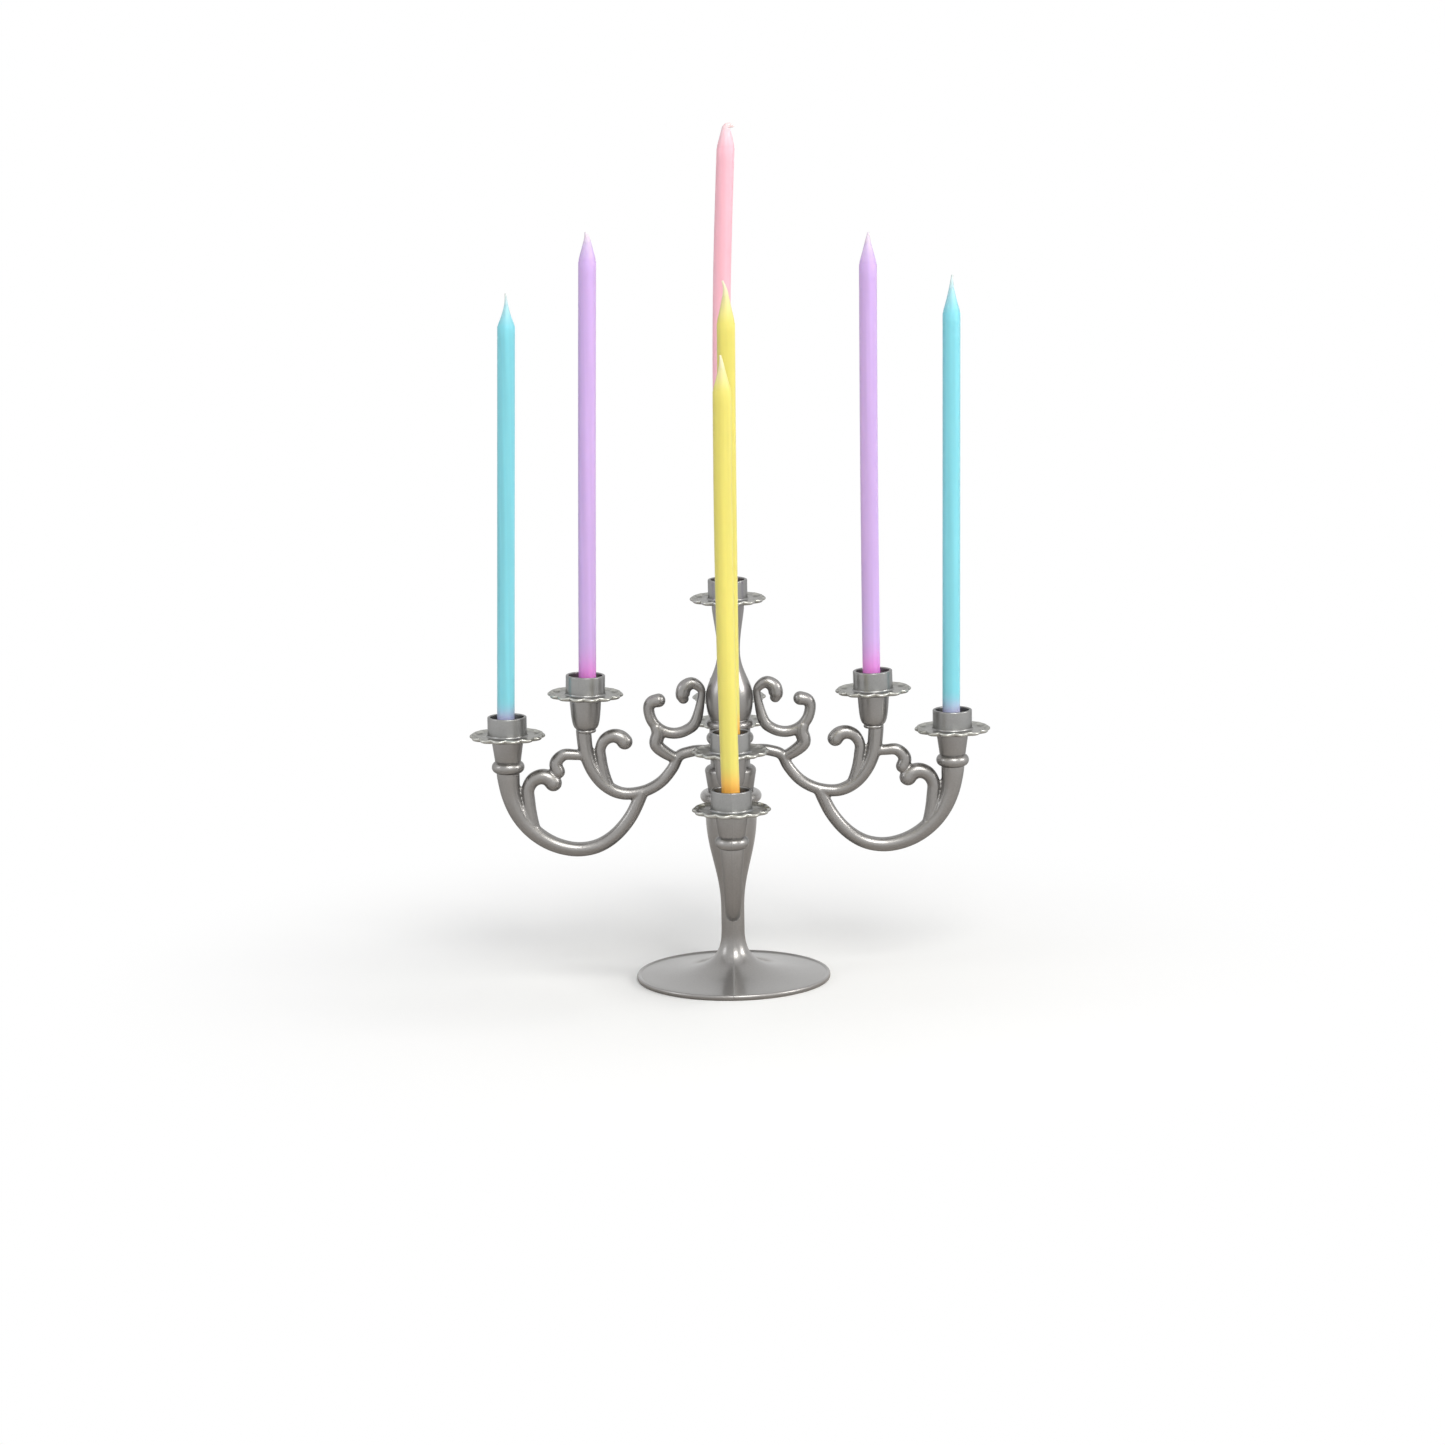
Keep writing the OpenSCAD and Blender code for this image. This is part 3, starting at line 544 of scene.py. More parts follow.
def finish_for(kind, context):
    """The material of that name, made once. The parting line of a front or back piece lies in the middle
    of the width, and that of a side piece in the middle of the depth."""
    if kind in bpy.data.materials:
        return bpy.data.materials[kind]
    c = context.scene.candelabra_colours
    axis = "Y" if kind.endswith("side") else "X"
    if kind == "silver_abs_thick":
        # The foot is broad and seen nearly edge on, where it stays as bright as elsewhere
        return plastic(kind, c.silver, axis, edge=0.9)
    if kind.startswith("silver_abs"):
        return plastic(kind, c.silver, axis)
    if kind.startswith("pale_abs"):
        # The drip pans get the pan colour, a painted reflection of the bright surroundings
        return plastic(kind, c.pale_silver, axis, shine=0.32, pan_tint=c.pan)
    dye = kind.split("_")[0]
    if kind.endswith("waxed_cotton"):
        return waxed_cotton(kind, c.wick, getattr(c, dye))
    return wax(kind, getattr(c, dye), getattr(c, dye + "_foot"), FADES[dye])


# ------------------------------------------------------------------------------ foot and finial

class CANDELABRA_OT_base(Operator):
    """Turn the trumpet foot, the tapered stem with its ring, and the spigot"""
    bl_idname = "candelabra.base"
    bl_label = "Foot and stem"

    # Width of the foot's rounded edge, where its inner side has dropped by a little, and where it ends
    bead, slope, slope_drop, slope_end = 0.5, 0.95, 0.16, 1.2
    # Where the foot's surface starts, and how far the handles of its curve reach
    surface_start, surface_rise, flare_out, flare_up = 1.5, 0.05, 3.0, 1.1
    # How far the vase's rim is bevelled, and the rounding of the edges
    vase_bevel, rounding = 0.2, 0.12

    def execute(self, context):
        s = Millimetres(context.scene.candelabra_foot)
        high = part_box("base")[1]
        foot, top = high.x / MM, high.z / MM
        seat = joint_height("lower_tier_swivel")
        inside = foot - s.ring_width
        outline = [(0, s.recess), (inside, s.recess), (inside, 0), (foot - self.bead, 0)]
        outline += arc((foot - self.bead, s.edge / 2), self.bead, s.edge / 2, -75, 100, 12)
        outline += [(foot - self.slope, s.edge - self.slope_drop), (foot - self.slope_end, s.surface)]
        outline += bow((foot - self.surface_start, s.surface + self.surface_rise),
                       (s.stem_radius + self.flare_out, s.surface + self.flare_up),
                       (s.stem_radius, s.flare_top * 0.4), (s.stem_radius, s.flare_top), 30)
        outline += [(s.stem_radius, s.flare_top), (s.stem_radius, lerp(s.flare_top, s.vase_start, 0.5))]
        outline += bow((s.stem_radius, s.vase_start),
                       (s.stem_radius, lerp(s.vase_start, s.vase_top, 0.4)),
                       (s.vase_radius - self.vase_bevel, lerp(s.vase_start, s.vase_top, 0.6)),
                       (s.vase_radius, s.vase_top), 24)
        outline += [(s.vase_radius, s.vase_top), (s.vase_radius - self.vase_bevel, seat - s.ring_height)]
        half = s.ring_height / 2
        outline += arc((s.ring_radius - half, seat - half), half, half, -90, 90, 14)
        outline += [(s.spigot_radius, seat), (s.spigot_radius, top), (0, top)]
        piece(turned(outline, self.rounding, steps=128), "foot_and_stem", "root", ["base"],
              finish_for("silver_abs_thick", context))
        return {"FINISHED"}


class CANDELABRA_OT_finial(Operator):
    """Turn the finial: a ring, a bulb and a waisted neck that carries the top nozzle"""
    bl_idname = "candelabra.finial"
    bl_label = "Finial"

    # Play round the spigot, how far the bulb starts and bends inside its widest, and the rim on top
    play, bulb_start, bulb_bend, bulb_rise, rim = 0.02, 1.1, 0.4, 1.4, 2.0
    # The flats above and below the ring's bulge, the bend under the rim, and the rounding of the edges
    ring_flat, top_bend, rounding = 0.2, 0.4, 0.1

    def execute(self, context):
        s = Millimetres(context.scene.candelabra_foot)
        crown = Millimetres(context.scene.candelabra_arm).crown_radius
        nozzle = Millimetres(context.scene.candelabra_nozzle)
        x, y, bottom, top = middle("finial")
        height = top - bottom
        shoulder = height - self.rim
        bulge = s.crown_ring / 2 - self.ring_flat
        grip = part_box("base")[1].z / MM - bottom
        bore = s.spigot_radius + self.play
        outline = [(0, grip), (bore, grip), (bore, 0), (crown - bulge, 0)]
        outline += arc((crown - bulge, s.crown_ring / 2), bulge, bulge, -80, 80, 12)
        outline += bow((crown - self.bulb_start, s.crown_ring),
                       (crown - self.bulb_bend, s.crown_ring + self.bulb_rise),
                       (crown, lerp(s.crown_ring, s.bulb_height, 0.6)), (crown, s.bulb_height), 14)
        outline += bow((crown, s.bulb_height), (crown, lerp(s.bulb_height, s.neck_height, 0.36)),
                       (s.neck_radius, lerp(s.bulb_height, s.neck_height, 0.54)),
                       (s.neck_radius, s.neck_height), 24)
        outline += bow((s.neck_radius, s.neck_height),
                       (s.neck_radius, lerp(s.neck_height, height, 0.3)),
                       (s.finial_top - self.top_bend, lerp(s.neck_height, height, 0.6)),
                       (s.finial_top, shoulder), 18)
        outline += [(s.finial_top, shoulder), (s.finial_top, height)] + plug_hole(nozzle, height)
        piece(turned(outline, self.rounding, at=(x, y, bottom)), "finial_turned", "root", ["finial"],
              finish_for("silver_abs_front", context))
        return {"FINISHED"}


# ------------------------------------------------------------------------------ arms

class Limb(namedtuple("Limb", "reach start top low dip end thick thin thinned")):
    """The outer or the inner rod of an arm. It runs down from its start in the socket, from its top
    through a quarter turn to its lowest place, where it has a share of its thinning behind it, and on up
    to its end."""

    # Through how many degrees it turns up to its end
    rise_turn = 60

    def fall(self, a):
        """A point on the way down, at an angle in degrees from the top."""
        a = math.radians(a)
        return (self.low + (self.reach - self.low) * math.cos(a),
                self.top - (self.top + self.dip) * math.sin(a))

    def rise(self, a):
        """A point on the way up, at an angle in degrees from the lowest place."""
        a, full = math.radians(a), math.radians(self.rise_turn)
        return (self.low - (self.low - self.end[0]) * math.sin(a) / math.sin(full),
                (self.end[1] + self.dip) * (1 - math.cos(a)) / (1 - math.cos(full)) - self.dip)

    def stations(self, down, up, power=1):
        """Stations at every so many degrees on the way down and up. The power says how it thins on the
        way down: below 1, most of it near the socket."""
        path = [(self.reach, self.start, self.thick)]
        path += [(*self.fall(a), lerp(self.thick, self.thin, self.thinned * (a / 90) ** power))
                 for a in range(0, 91, down)]
        path += [(*self.rise(a), lerp(self.thick, self.thin, lerp(self.thinned, 1, a / self.rise_turn)))
                 for a in range(up, self.rise_turn + 1, up)]
        return path


class ArmShape:
    """The rods and sockets of one arm in the XZ plane, from the bottom of the hub, in millimetres."""

    # How far under its seat each limb turns upright, and how far the inner one stands outside its seat
    outer_turn, inner_turn, inner_set = 11.3, 11.2, 0.65
    # The share of its thinning that each limb has behind it at its lowest place
    outer_thinned, inner_thinned = 0.85, 0.75
    # Where the inner limb bends up to the hub, and how far round its rise the outer one joins it
    bend_out, bend_down, join_angle = 10.8, 5.3, 16
    # The bead round the outer socket, how far it stands out, and the collar under the inner one
    bead_drop, bead_height, bead_out, collar_drop, collar_height = 8.4, 3.6, 0.2, 9.4, 1.0
    # Where on the fall of its limb each leaf roots, its eye from there, and the radius of its curl
    outer_root, outer_eye, outer_curl = 50, (-3.5, 13), 5.3
    inner_root, inner_eye, inner_curl = 65, (-2.5, 12.1), 5.05
    # How far round a leaf curls, closes in and swells, and the place of its end round its eye
    leaf_turn, leaf_close, leaf_swell, leaf_end_angle, leaf_end_share = 105, 0.63, 0.85, 139, 0.54
    # Where on the inner limb's fall the arm link starts, and its end from the outer leaf's
    link_start, link_end, link_lift = 20, (-1.5, 3.3), 0.2
    # The big scroll's curl and hook, with the angles at which they end, and its curl's end thickness
    curl_set, curl_rise, curl_radius, curl_top, curl_end, curl_tip = 0.7, 3.9, 2.75, 3.5, -21, 0.77
    hook_turn, hook_end = 2.5, 100
    # Where round the bowl the scroll link starts, and its end from the inner limb's bend
    bowl_foot, bend_foot = -44, (-2.1, 2.7)

    def __init__(self, s, nozzle, outer_seat, inner_seat):
        self.s, self.nozzle = s, nozzle
        bend = (s.waist_radius + self.bend_out, s.root_height - self.bend_down)
        self.inner = Limb(s.inner_reach + self.inner_set, inner_seat - self.collar_drop,
                          inner_seat - self.inner_turn, s.inner_low, s.inner_dip, bend,
                          s.inner_thick, s.inner_thin, self.inner_thinned)
        self.outer = Limb(s.outer_reach, outer_seat - self.bead_drop,
                          outer_seat - self.outer_turn, s.outer_low, s.outer_dip,
                          self.inner.rise(self.join_angle), s.outer_thick, s.outer_thin,
                          self.outer_thinned)

    def root(self):
        """Stations from the inner limb's bend into the hub."""
        x, z = self.inner.end
        level, thin = self.s.root_height, self.s.inner_thin
        return [(x - 2, z + 3.7, thin), (x - 5, level - 0.4, thin), (x - 8, level, thin),
                (self.s.waist_radius - 1, level - 0.2, thin)]

    def leaf_end(self, eye, curl):
        """Where the leaf that curls round an eye ends."""
        return polar(eye, self.leaf_end_share * curl, self.leaf_end_angle)

    def leaf(self, bm, root, eye, curl, stem, end):
        """A leaf stands up from its limb, and swells as it curls over towards the stem."""
        top = (eye[0] + curl, eye[1])
        tip = self.leaf_end(eye, curl)
        path = [(top[0] - (top[0] - root[0]) * (1 - t) ** 2, lerp(root[1], top[1], t), stem)
                for t in (0, 0.25, 0.5, 0.75)]
        path += [(*polar(eye, curl * lerp(1, self.leaf_close, a / self.leaf_turn), a),
                  lerp(stem, end, self.leaf_swell * a / self.leaf_turn))
                 for a in range(0, self.leaf_turn + 1, 35)]
        sweep(bm, path + [(*tip, end)])
        knob(bm, tip, end)

    def arm_link(self, bm, leaf_end):
        """A short rod curls from the inner limb down to the end of the outer leaf."""
        s = self.s
        start = self.inner.fall(self.link_start)
        end = shifted(leaf_end, self.link_end)
        thick, thin, crest = s.arm_link_end, s.arm_link, start[1] + self.link_lift
        sweep(bm, [(*start, thin), (lerp(start[0], end[0], 0.4), crest, thin),
                   (lerp(start[0], end[0], 0.8), crest, lerp(thin, thick, 0.3)),
                   (end[0] + 0.6, lerp(start[1], end[1], 0.45), lerp(thin, thick, 0.7)), (*end, thick)])
        knob(bm, end, thick)

    def big_scroll(self, bm):
        """An open bowl, thin beside the finial, that swells to a hook at one end and a curl at the
        other."""
        s = self.s
        side = s.crown_radius + s.scroll_gap + s.scroll_waist
        centre = (side + self.curl_set + s.bowl_radius, s.bowl_height)
        curl_at = (side + self.curl_radius, centre[1] + self.curl_rise)
        curl_end = polar(curl_at, self.curl_radius, self.curl_end)
        hook_at = (centre[0] + s.bowl_radius - self.hook_turn, centre[1])
        path = [(*polar(hook_at, self.hook_turn, a),
                 lerp(s.scroll_rod, s.scroll_hook, a / self.hook_end))
                for a in (self.hook_end, self.hook_end / 2)]
        path += [(*polar(centre, s.bowl_radius, a), s.scroll_rod) for a in range(0, -151, -30)]
        for a in range(180, -1, -45):
            radius = lerp(self.curl_radius, self.curl_top, math.sin(math.radians(a)) ** 2)
            swell = min(1, ((180 - a) / 120) ** 1.3)
            path.append((*polar(curl_at, radius, a), lerp(s.scroll_waist, s.scroll_curl, swell)))
        sweep(bm, path + [(*curl_end, s.scroll_curl * self.curl_tip)])
        knob(bm, curl_end, s.scroll_curl * self.curl_tip)
        knob(bm, polar(hook_at, self.hook_turn, self.hook_end), s.scroll_hook)
        # A link runs from under the bowl down to the bend of the inner limb
        start = polar(centre, s.bowl_radius, self.bowl_foot)
        end = shifted(self.inner.end, self.bend_foot)
        sweep(bm, [(*start, s.scroll_link * 0.9), (start[0] - 0.6, start[1] - 2.2, s.scroll_link),
                   (start[0], lerp(start[1], end[1], 0.55), s.scroll_link),
                   (lerp(start[0], end[0], 0.45), lerp(start[1], end[1], 0.82), s.scroll_link * 0.9),
                   (*end, s.scroll_link * 0.75)])

    def rods(self, bm):
        """Every rod of an arm."""
        s = self.s
        sweep(bm, self.outer.stations(15, 15, power=0.5), sides=28)
        sweep(bm, self.inner.stations(18, 20) + self.root(), sides=24)
        root = self.outer.fall(self.outer_root)
        eye = shifted(root, self.outer_eye)
        self.leaf(bm, root, eye, self.outer_curl, s.outer_leaf, s.outer_leaf_end)
        self.arm_link(bm, self.leaf_end(eye, self.outer_curl))
        root = self.inner.fall(self.inner_root)
        self.leaf(bm, root, shifted(root, self.inner_eye), self.inner_curl, s.inner_leaf,
                  s.inner_leaf_end)
        self.big_scroll(bm)

    def outer_socket(self):
        """Half section of a socket with a bead round it, from its seat."""
        s = self.s
        half = self.bead_height / 2
        cone_foot = half - self.bead_drop
        bead_foot = cone_foot - self.bead_height
        return ([(0, bead_foot - 0.4), (s.outer_thick - 0.15, bead_foot - 0.4),
                 (s.outer_thick, bead_foot)]
                + arc((s.socket_radius + self.bead_out - half, -self.bead_drop), half, half, -70, 70, 14)
                + [(s.socket_radius - 0.8, cone_foot)] + self.rim())

    def inner_socket(self):
        """Half section of a cup-shaped socket with a thin collar under it, from its seat."""
        s, drop = self.s, self.collar_drop
        waist, half = s.inner_thick + self.inner_set, self.collar_height / 2
        foot = -drop - self.collar_height
        return ([(0, foot), (waist - 0.35, foot)]
                + arc((waist - 0.3, -drop - half), 0.35, half, -80, 80, 6)
                + bow((waist - 0.1, -drop), (s.socket_radius - 0.6, 0.5 - drop),
                      (s.socket_radius - 0.35, -drop * 0.7), (s.socket_radius, -1), 14)
                + self.rim())

    def rim(self):
        """A socket's plain rim and the hole inside it."""
        s = self.s
        return [(s.socket_radius, -1), (s.socket_radius, 0)] + plug_hole(self.nozzle)


class CANDELABRA_OT_arms(Operator):
    """Sweep the rods of an arm, skin them over, add the sockets, and set four copies round the stem"""
    bl_idname = "candelabra.arms"
    bl_label = "Scrolled arms"

    # Steps round a socket, and the rounding of its edges
    steps, rounding = 72, 0.1

    def execute(self, context):
        s = Millimetres(context.scene.candelabra_arm)
        nozzle = Millimetres(context.scene.candelabra_nozzle)
        hub = joint_height("upper_tier_swivel")
        outer_seat = middle("nozzle_right_outer")[2] + nozzle.plug_length - hub
        inner_seat = middle("nozzle_right_inner")[2] + nozzle.plug_length - hub
        shape = ArmShape(s, nozzle, outer_seat, inner_seat)
        rods = bmesh.new()
        shape.rods(rods)
        clean(rods, distance=0.0005)
        arm = skin_over(rods, s.skin, s.soften)
        # The sockets are turned apart and join the skin, so that their rims stay crisp
        sockets = bmesh.new()
        turn(sockets, shape.outer_socket(), self.steps, (s.outer_reach, 0, outer_seat))
        turn(sockets, shape.inner_socket(), self.steps, (s.inner_reach, 0, inner_seat))
        clean(sockets)
        soften_edges(sockets, self.rounding)
        mesh = bpy.data.meshes.new("sockets")
        sockets.to_mesh(mesh)
        sockets.free()
        arm.from_mesh(mesh)
        bpy.data.meshes.remove(mesh)
        for side, angle, tier in (("right", 0, "upper"), ("left", 180, "upper"),
                                  ("front", -90, "lower"), ("back", 90, "lower")):
            finish = finish_for("silver_abs_side" if tier == "upper" else "silver_abs_front", context)
            piece(arm.copy(), f"{side}_arm", f"{tier}_tier", [f"{tier}_arms"], finish,
                  turn_by=angle, move=(0, 0, joint_height(f"{tier}_tier_swivel")))
        arm.free()
        return {"FINISHED"}


class CANDELABRA_OT_hubs(Operator):
    """Turn the two hubs that slip over the spigot"""
    bl_idname = "candelabra.hubs"
    bl_label = "Hubs"

    # Play round the spigot and between the hubs, and the rounding of the edges
    play, rounding = 0.06, 0.12
    # The lower hub's narrower foot, rounded shoulder and the groove over it
    foot_inset, shoulder, shoulder_drop, groove, groove_height = 0.9, 1.5, 3.5, 0.4, 1.6
    # The upper hub's plain waist over the arms' roots, its bulge and the groove over it
    waist_top, bulge, bulge_drop, top_groove, top_groove_height = 1.4, 1.7, 2.7, 0.2, 0.7

    def execute(self, context):
        s = Millimetres(context.scene.candelabra_arm)
        play = self.play
        bore = Millimetres(context.scene.candelabra_foot).spigot_radius + play
        low, high = joint_height("lower_tier_swivel"), joint_height("upper_tier_swivel")
        waist, lower, upper = s.waist_radius, high - low, middle("finial")[2] - high
        lower_neck, upper_neck = waist - self.groove, waist - self.top_groove
        lower_outline = [(bore, 0), (s.shoulder_radius - self.foot_inset, 0)]
        lower_outline += arc((s.shoulder_radius - self.shoulder, lower - self.shoulder_drop),
                             self.shoulder, self.shoulder, 0, 90, 8)
        lower_outline += [(lower_neck, lower - self.groove_height), (lower_neck, lower), (bore, lower),
                          (bore, 0)]
        upper_outline = [(bore, play), (waist, play), (waist, s.root_height + self.waist_top)]
        upper_outline += arc((s.crown_radius - self.bulge, upper - self.bulge_drop), self.bulge,
                             self.bulge, -60, 60, 12)
        upper_outline += [(upper_neck, upper - self.top_groove_height), (upper_neck, upper),
                          (bore, upper), (bore, play)]
        for tier, side, outline, at in (("lower", "front", lower_outline, low),
                                        ("upper", "side", upper_outline, high)):
            piece(turned(outline, self.rounding, at=(0, 0, at)), f"{tier}_hub", f"{tier}_tier",
                  [f"{tier}_arms"], finish_for(f"silver_abs_{side}", context))
        return {"FINISHED"}


# ------------------------------------------------------------------------------ nozzles

class CANDELABRA_OT_nozzles(Operator):
    """Turn a candle cup with its drip pan, wave and scallop the pan's edge, and set one on every seat"""
    bl_idname = "candelabra.nozzles"
    bl_label = "Cups and drip pans"

    # The pan's underside, as distances inside its edge and heights above the seat
    under = ((2.6, 0), (1.8, 0.08), (1.2, 0.2), (0.7, 0.34), (0.3, 0.55), (0.05, 0.8), (0, 1.05),
             (0.08, 1.28))
    # Its upper side near the edge, as distances inside the edge and below the top
    over = ((0.3, 0.17), (0.55, 0.16), (0.85, 0.32), (1.2, 0.55))
    # Its dished part, as distances inside the edge and below the floor's level
    dish = ((1.7, 0), (2.4, 0.06), (3.4, 0.08))
    # Fillet at the cup's foot: its width, its height, the level of its middle, and where it runs out
    fillet, fillet_height, fillet_level, fillet_foot = 0.6, 0.55, 0.5, (0.9, -0.06)
    # Roundings of the cup's lip, outside and inside, and of the cup's floor
    lip_out, lip_in, well = 0.3, 0.25, 0.35
    # Chamfers at the plug's end and at the mouth of the candle's hole
    plug_chamfer, hole_chamfer = 0.2, 0.25
    # Play round the scallops in the frame's box, and how far over its edge the pan is still bent
    slack, over_edge = 0.02, 0.1
    # How fast the notches and the wave fade inwards, and the level that the edge waves round
    notch_power, wave_power, wave_level = 1.5, 2, 0.45
    # How far outside the cup the pan's painted reflection, its paler colour, starts
    pan_inset = 0.5

    def outline(self, s, pan, height):
        """Half section of a nozzle from its seat."""
        cup, bore, hole, floor = s.cup_radius, s.cup_radius - s.cup_wall, s.hole_radius, s.pan_floor
        points = [(0, -s.plug_length), (s.plug_radius - self.plug_chamfer, -s.plug_length),
                  (s.plug_radius, self.plug_chamfer - s.plug_length), (s.plug_radius, 0)]
        points += [(pan - x, z) for x, z in self.under]
        points += [(pan - x, s.pan_height - z) for x, z in self.over]
        points += [(pan - x, floor - z) for x, z in self.dish]
        points.append(shifted((cup, floor), self.fillet_foot))
        points += arc((cup + self.fillet, floor + self.fillet_level), self.fillet, self.fillet_height,
                      -90, -180, 5)
        points += [(cup, lerp(floor, height, 0.5)), (cup, height - self.lip_out)]
        points += arc((cup - self.lip_out, height - self.lip_out), self.lip_out, self.lip_out, 15, 90, 4)
        points += arc((bore + self.lip_in, height - self.lip_in), self.lip_in, self.lip_in, 90, 180, 4)
        points += [(bore, lerp(s.cup_floor, height, 0.5)), (bore, s.cup_floor + self.well)]
        points += arc((bore - self.well, s.cup_floor + self.well), self.well, self.well, 0, -90, 3)
        return points + [(hole + self.hole_chamfer, s.cup_floor),
                         (hole, s.cup_floor - self.hole_chamfer),
                         (hole, lerp(s.cup_floor, -s.hole_depth, 0.5)), (hole, -s.hole_depth),
                         (0, -s.hole_depth)]

    def scallop(self, bm, s, pan):
        """Draws the pan's edge in between the lobes and waves it up and down."""
        start = pan - self.dish[-1][0]
        for v in bm.verts:
            radius = math.hypot(v.co.x, v.co.y)
            if radius > start and v.co.z < s.pan_height + self.over_edge:
                share = (radius - start) / (pan - start)
                lobe = abs(math.cos(math.atan2(v.co.y, v.co.x) * s.lobes / 2))
                shrink = s.notch * (1 - lobe) * share ** self.notch_power
                v.co.x *= (radius - shrink) / radius
                v.co.y *= (radius - shrink) / radius
                v.co.z += s.wave * share ** self.wave_power * (self.wave_level - lobe)
        bmesh.ops.recalc_face_normals(bm, faces=bm.faces)

    def execute(self, context):
        s = Millimetres(context.scene.candelabra_nozzle)
        low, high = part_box("nozzle_top")
        pan = (high.x - low.x) / 2 / MM - self.slack
        height = (high.z - low.z) / MM - s.plug_length
        bm = turned(self.outline(s, pan, height), steps=s.lobes * 16)
        self.scallop(bm, s, pan)
        # Marks where the paler pan colour, a painted reflection of the bright surroundings, is laid on
        painted_reflection_mask = bm.verts.layers.float.new("pan")
        for v in bm.verts:
            v[painted_reflection_mask] = 1.0 if math.hypot(v.co.x, v.co.y) > s.cup_radius + self.pan_inset else 0.0
        for name, (body, lean) in NOZZLES.items():
            x, y, bottom, _ = middle("nozzle_" + name)
            finish = finish_for("pale_abs_side" if body == "upper_tier" else "pale_abs_front", context)
            leaning = bm.copy()
            bmesh.ops.rotate(leaning, verts=leaning.verts, cent=(0, 0, 0),
                             matrix=Matrix.Rotation(math.radians(lean), 3, "Y"))
            piece(leaning, name + "_cup", body, ["nozzle_" + name], finish,
                  move=(x, y, bottom + s.plug_length))
        bm.free()
        return {"FINISHED"}


# ------------------------------------------------------------------------------ candles

class CandleShape:
    """Levels and curves that a candle's wax and its wick share, in millimetres."""

    # How far up the cone the wax reaches, and the part of the cone over which the shoulder is rounded
    wax_share, shoulder_share, shoulder_loss = 0.64, 0.1, 0.06
    # Height above its foot at which a candle leans, the middle of its hole
    lean_height = 3.0

    def __init__(self, name, context):
        s = Millimetres(context.scene.candelabra_candle)
        self.trim = CANDLES[name]
        self.x, self.y, self.foot, tip = middle("candle_" + name)
        self.seat = self.foot + Millimetres(context.scene.candelabra_nozzle).hole_depth
        self.radius, self.nib_radius = s.radius, s.nib_radius
        self.shoulder = tip - s.tip_length + self.trim.shoulder
        self.end = middle("wick_" + name)[3] + self.trim.end
        self.mouth = self.cone(self.wax_share)[1]

    def cone(self, share):
        """A point on the cone, from the shoulder at 0 to the end of the wick at 1."""
        rounded = 1 - self.shoulder_loss * max(0, 1 - share / self.shoulder_share) ** 2
        thick = (1 - share) ** self.trim.hollow * rounded
        return lerp(self.nib_radius, self.radius, thick), lerp(self.shoulder, self.end, share)

    def rise(self, z):
        """Height above the seat."""
        return z - self.seat

    def thin(self, z):
        """How far up the cone a height is, from 0 to 1."""
        return min(1, max(0, (z - self.shoulder) / (self.end - self.shoulder)))

    def made(self, outline, steps, *marks):
        """Turns an outline, writes the named marks on its points for the material, and settles it."""
        bm = turned(outline, steps=steps, at=(self.x, self.y, 0))
        for mark in marks:
            layer = bm.verts.layers.float.new(mark)
            for v in bm.verts:
                v[layer] = getattr(self, mark)(v.co.z)
        self.settle(bm)
        return bm

    def settle(self, bm):
        """Curls the nib, then shifts, tilts and bows the candle about the middle of its hole."""
        length = self.shoulder - self.foot
        curl = math.radians(self.trim.curl) / (self.end - self.mouth)
        lean = math.tan(math.radians(self.trim.lean))
        for v in bm.verts:
            rise = v.co.z - self.foot - self.lean_height
            bowed = self.trim.bow * math.sin(math.pi * min(1, max(0, rise / length)))
            over = max(0, v.co.z - self.mouth)
            if over:
                angle, side = curl * over, v.co.x - self.x
                v.co.x = self.x + (1 - math.cos(angle)) / curl + side * math.cos(angle)
                v.co.z = self.mouth + math.sin(angle) / curl - side * math.sin(angle)
            v.co.x += self.trim.shift + lean * rise - bowed


class CANDELABRA_OT_candles(Operator):
    """Dip the candles: a straight rod of wax with a rounded shoulder and a drawn-out tip"""
    bl_idname = "candelabra.candles"
    bl_label = "Candles"

    # Chamfer at the foot, where the rod ends under the shoulder, and how many rings it and the cone have
    chamfer, rod_end, rod_rings, cone_rings, steps = 0.2, 0.3, 40, 12, 40

    def execute(self, context):
        for name in CANDLES:
            shape = CandleShape(name, context)
            radius, low, high = shape.radius, shape.foot + self.chamfer, shape.shoulder - self.rod_end
            outline = [(0, shape.foot), (radius - self.chamfer, shape.foot)]
            outline += [(radius, lerp(low, high, i / self.rod_rings)) for i in range(self.rod_rings + 1)]
            outline += [shape.cone(shape.wax_share * i / self.cone_rings)
                        for i in range(self.cone_rings + 1)]
            dye = shape.trim.dye
            bm = shape.made(outline + [(0, shape.mouth)], self.steps, "rise", "thin")
            piece(bm, name + "_candle", f"candle_{name}_body", ["candle_" + name],
                  finish_for(dye + "_dipped_wax", context))
        return {"FINISHED"}


class CANDELABRA_OT_wicks(Operator):
    """Draw the waxed wicks, thinning to a nib and bent as they dried"""
    bl_idname = "candelabra.wicks"
    bl_label = "Wicks"

    # How deep a wick's foot is in the wax, how much narrower than the cone's mouth it is there and at
    # the mouth, and how many rings it has
    depth, narrow, mouth_gap, rings, steps = 1.5, 0.1, 0.02, 10, 20

    def execute(self, context):
        for name in CANDLES:
            shape = CandleShape(name, context)
            root = shape.mouth - self.depth
            neck = shape.cone(shape.wax_share)[0]
            outline = [(0, root), (neck - self.narrow, root), (neck - self.mouth_gap, shape.mouth)]
            outline += [shape.cone(lerp(shape.wax_share, 1, i / self.rings))
                        for i in range(1, self.rings + 1)]
            bm = shape.made(outline + [(0, shape.end)], self.steps, "thin")
            piece(bm, name + "_wick", f"candle_{name}_body", ["wick_" + name],
                  finish_for(shape.trim.dye + "_waxed_cotton", context))
        return {"FINISHED"}


# ------------------------------------------------------------------------------ stage

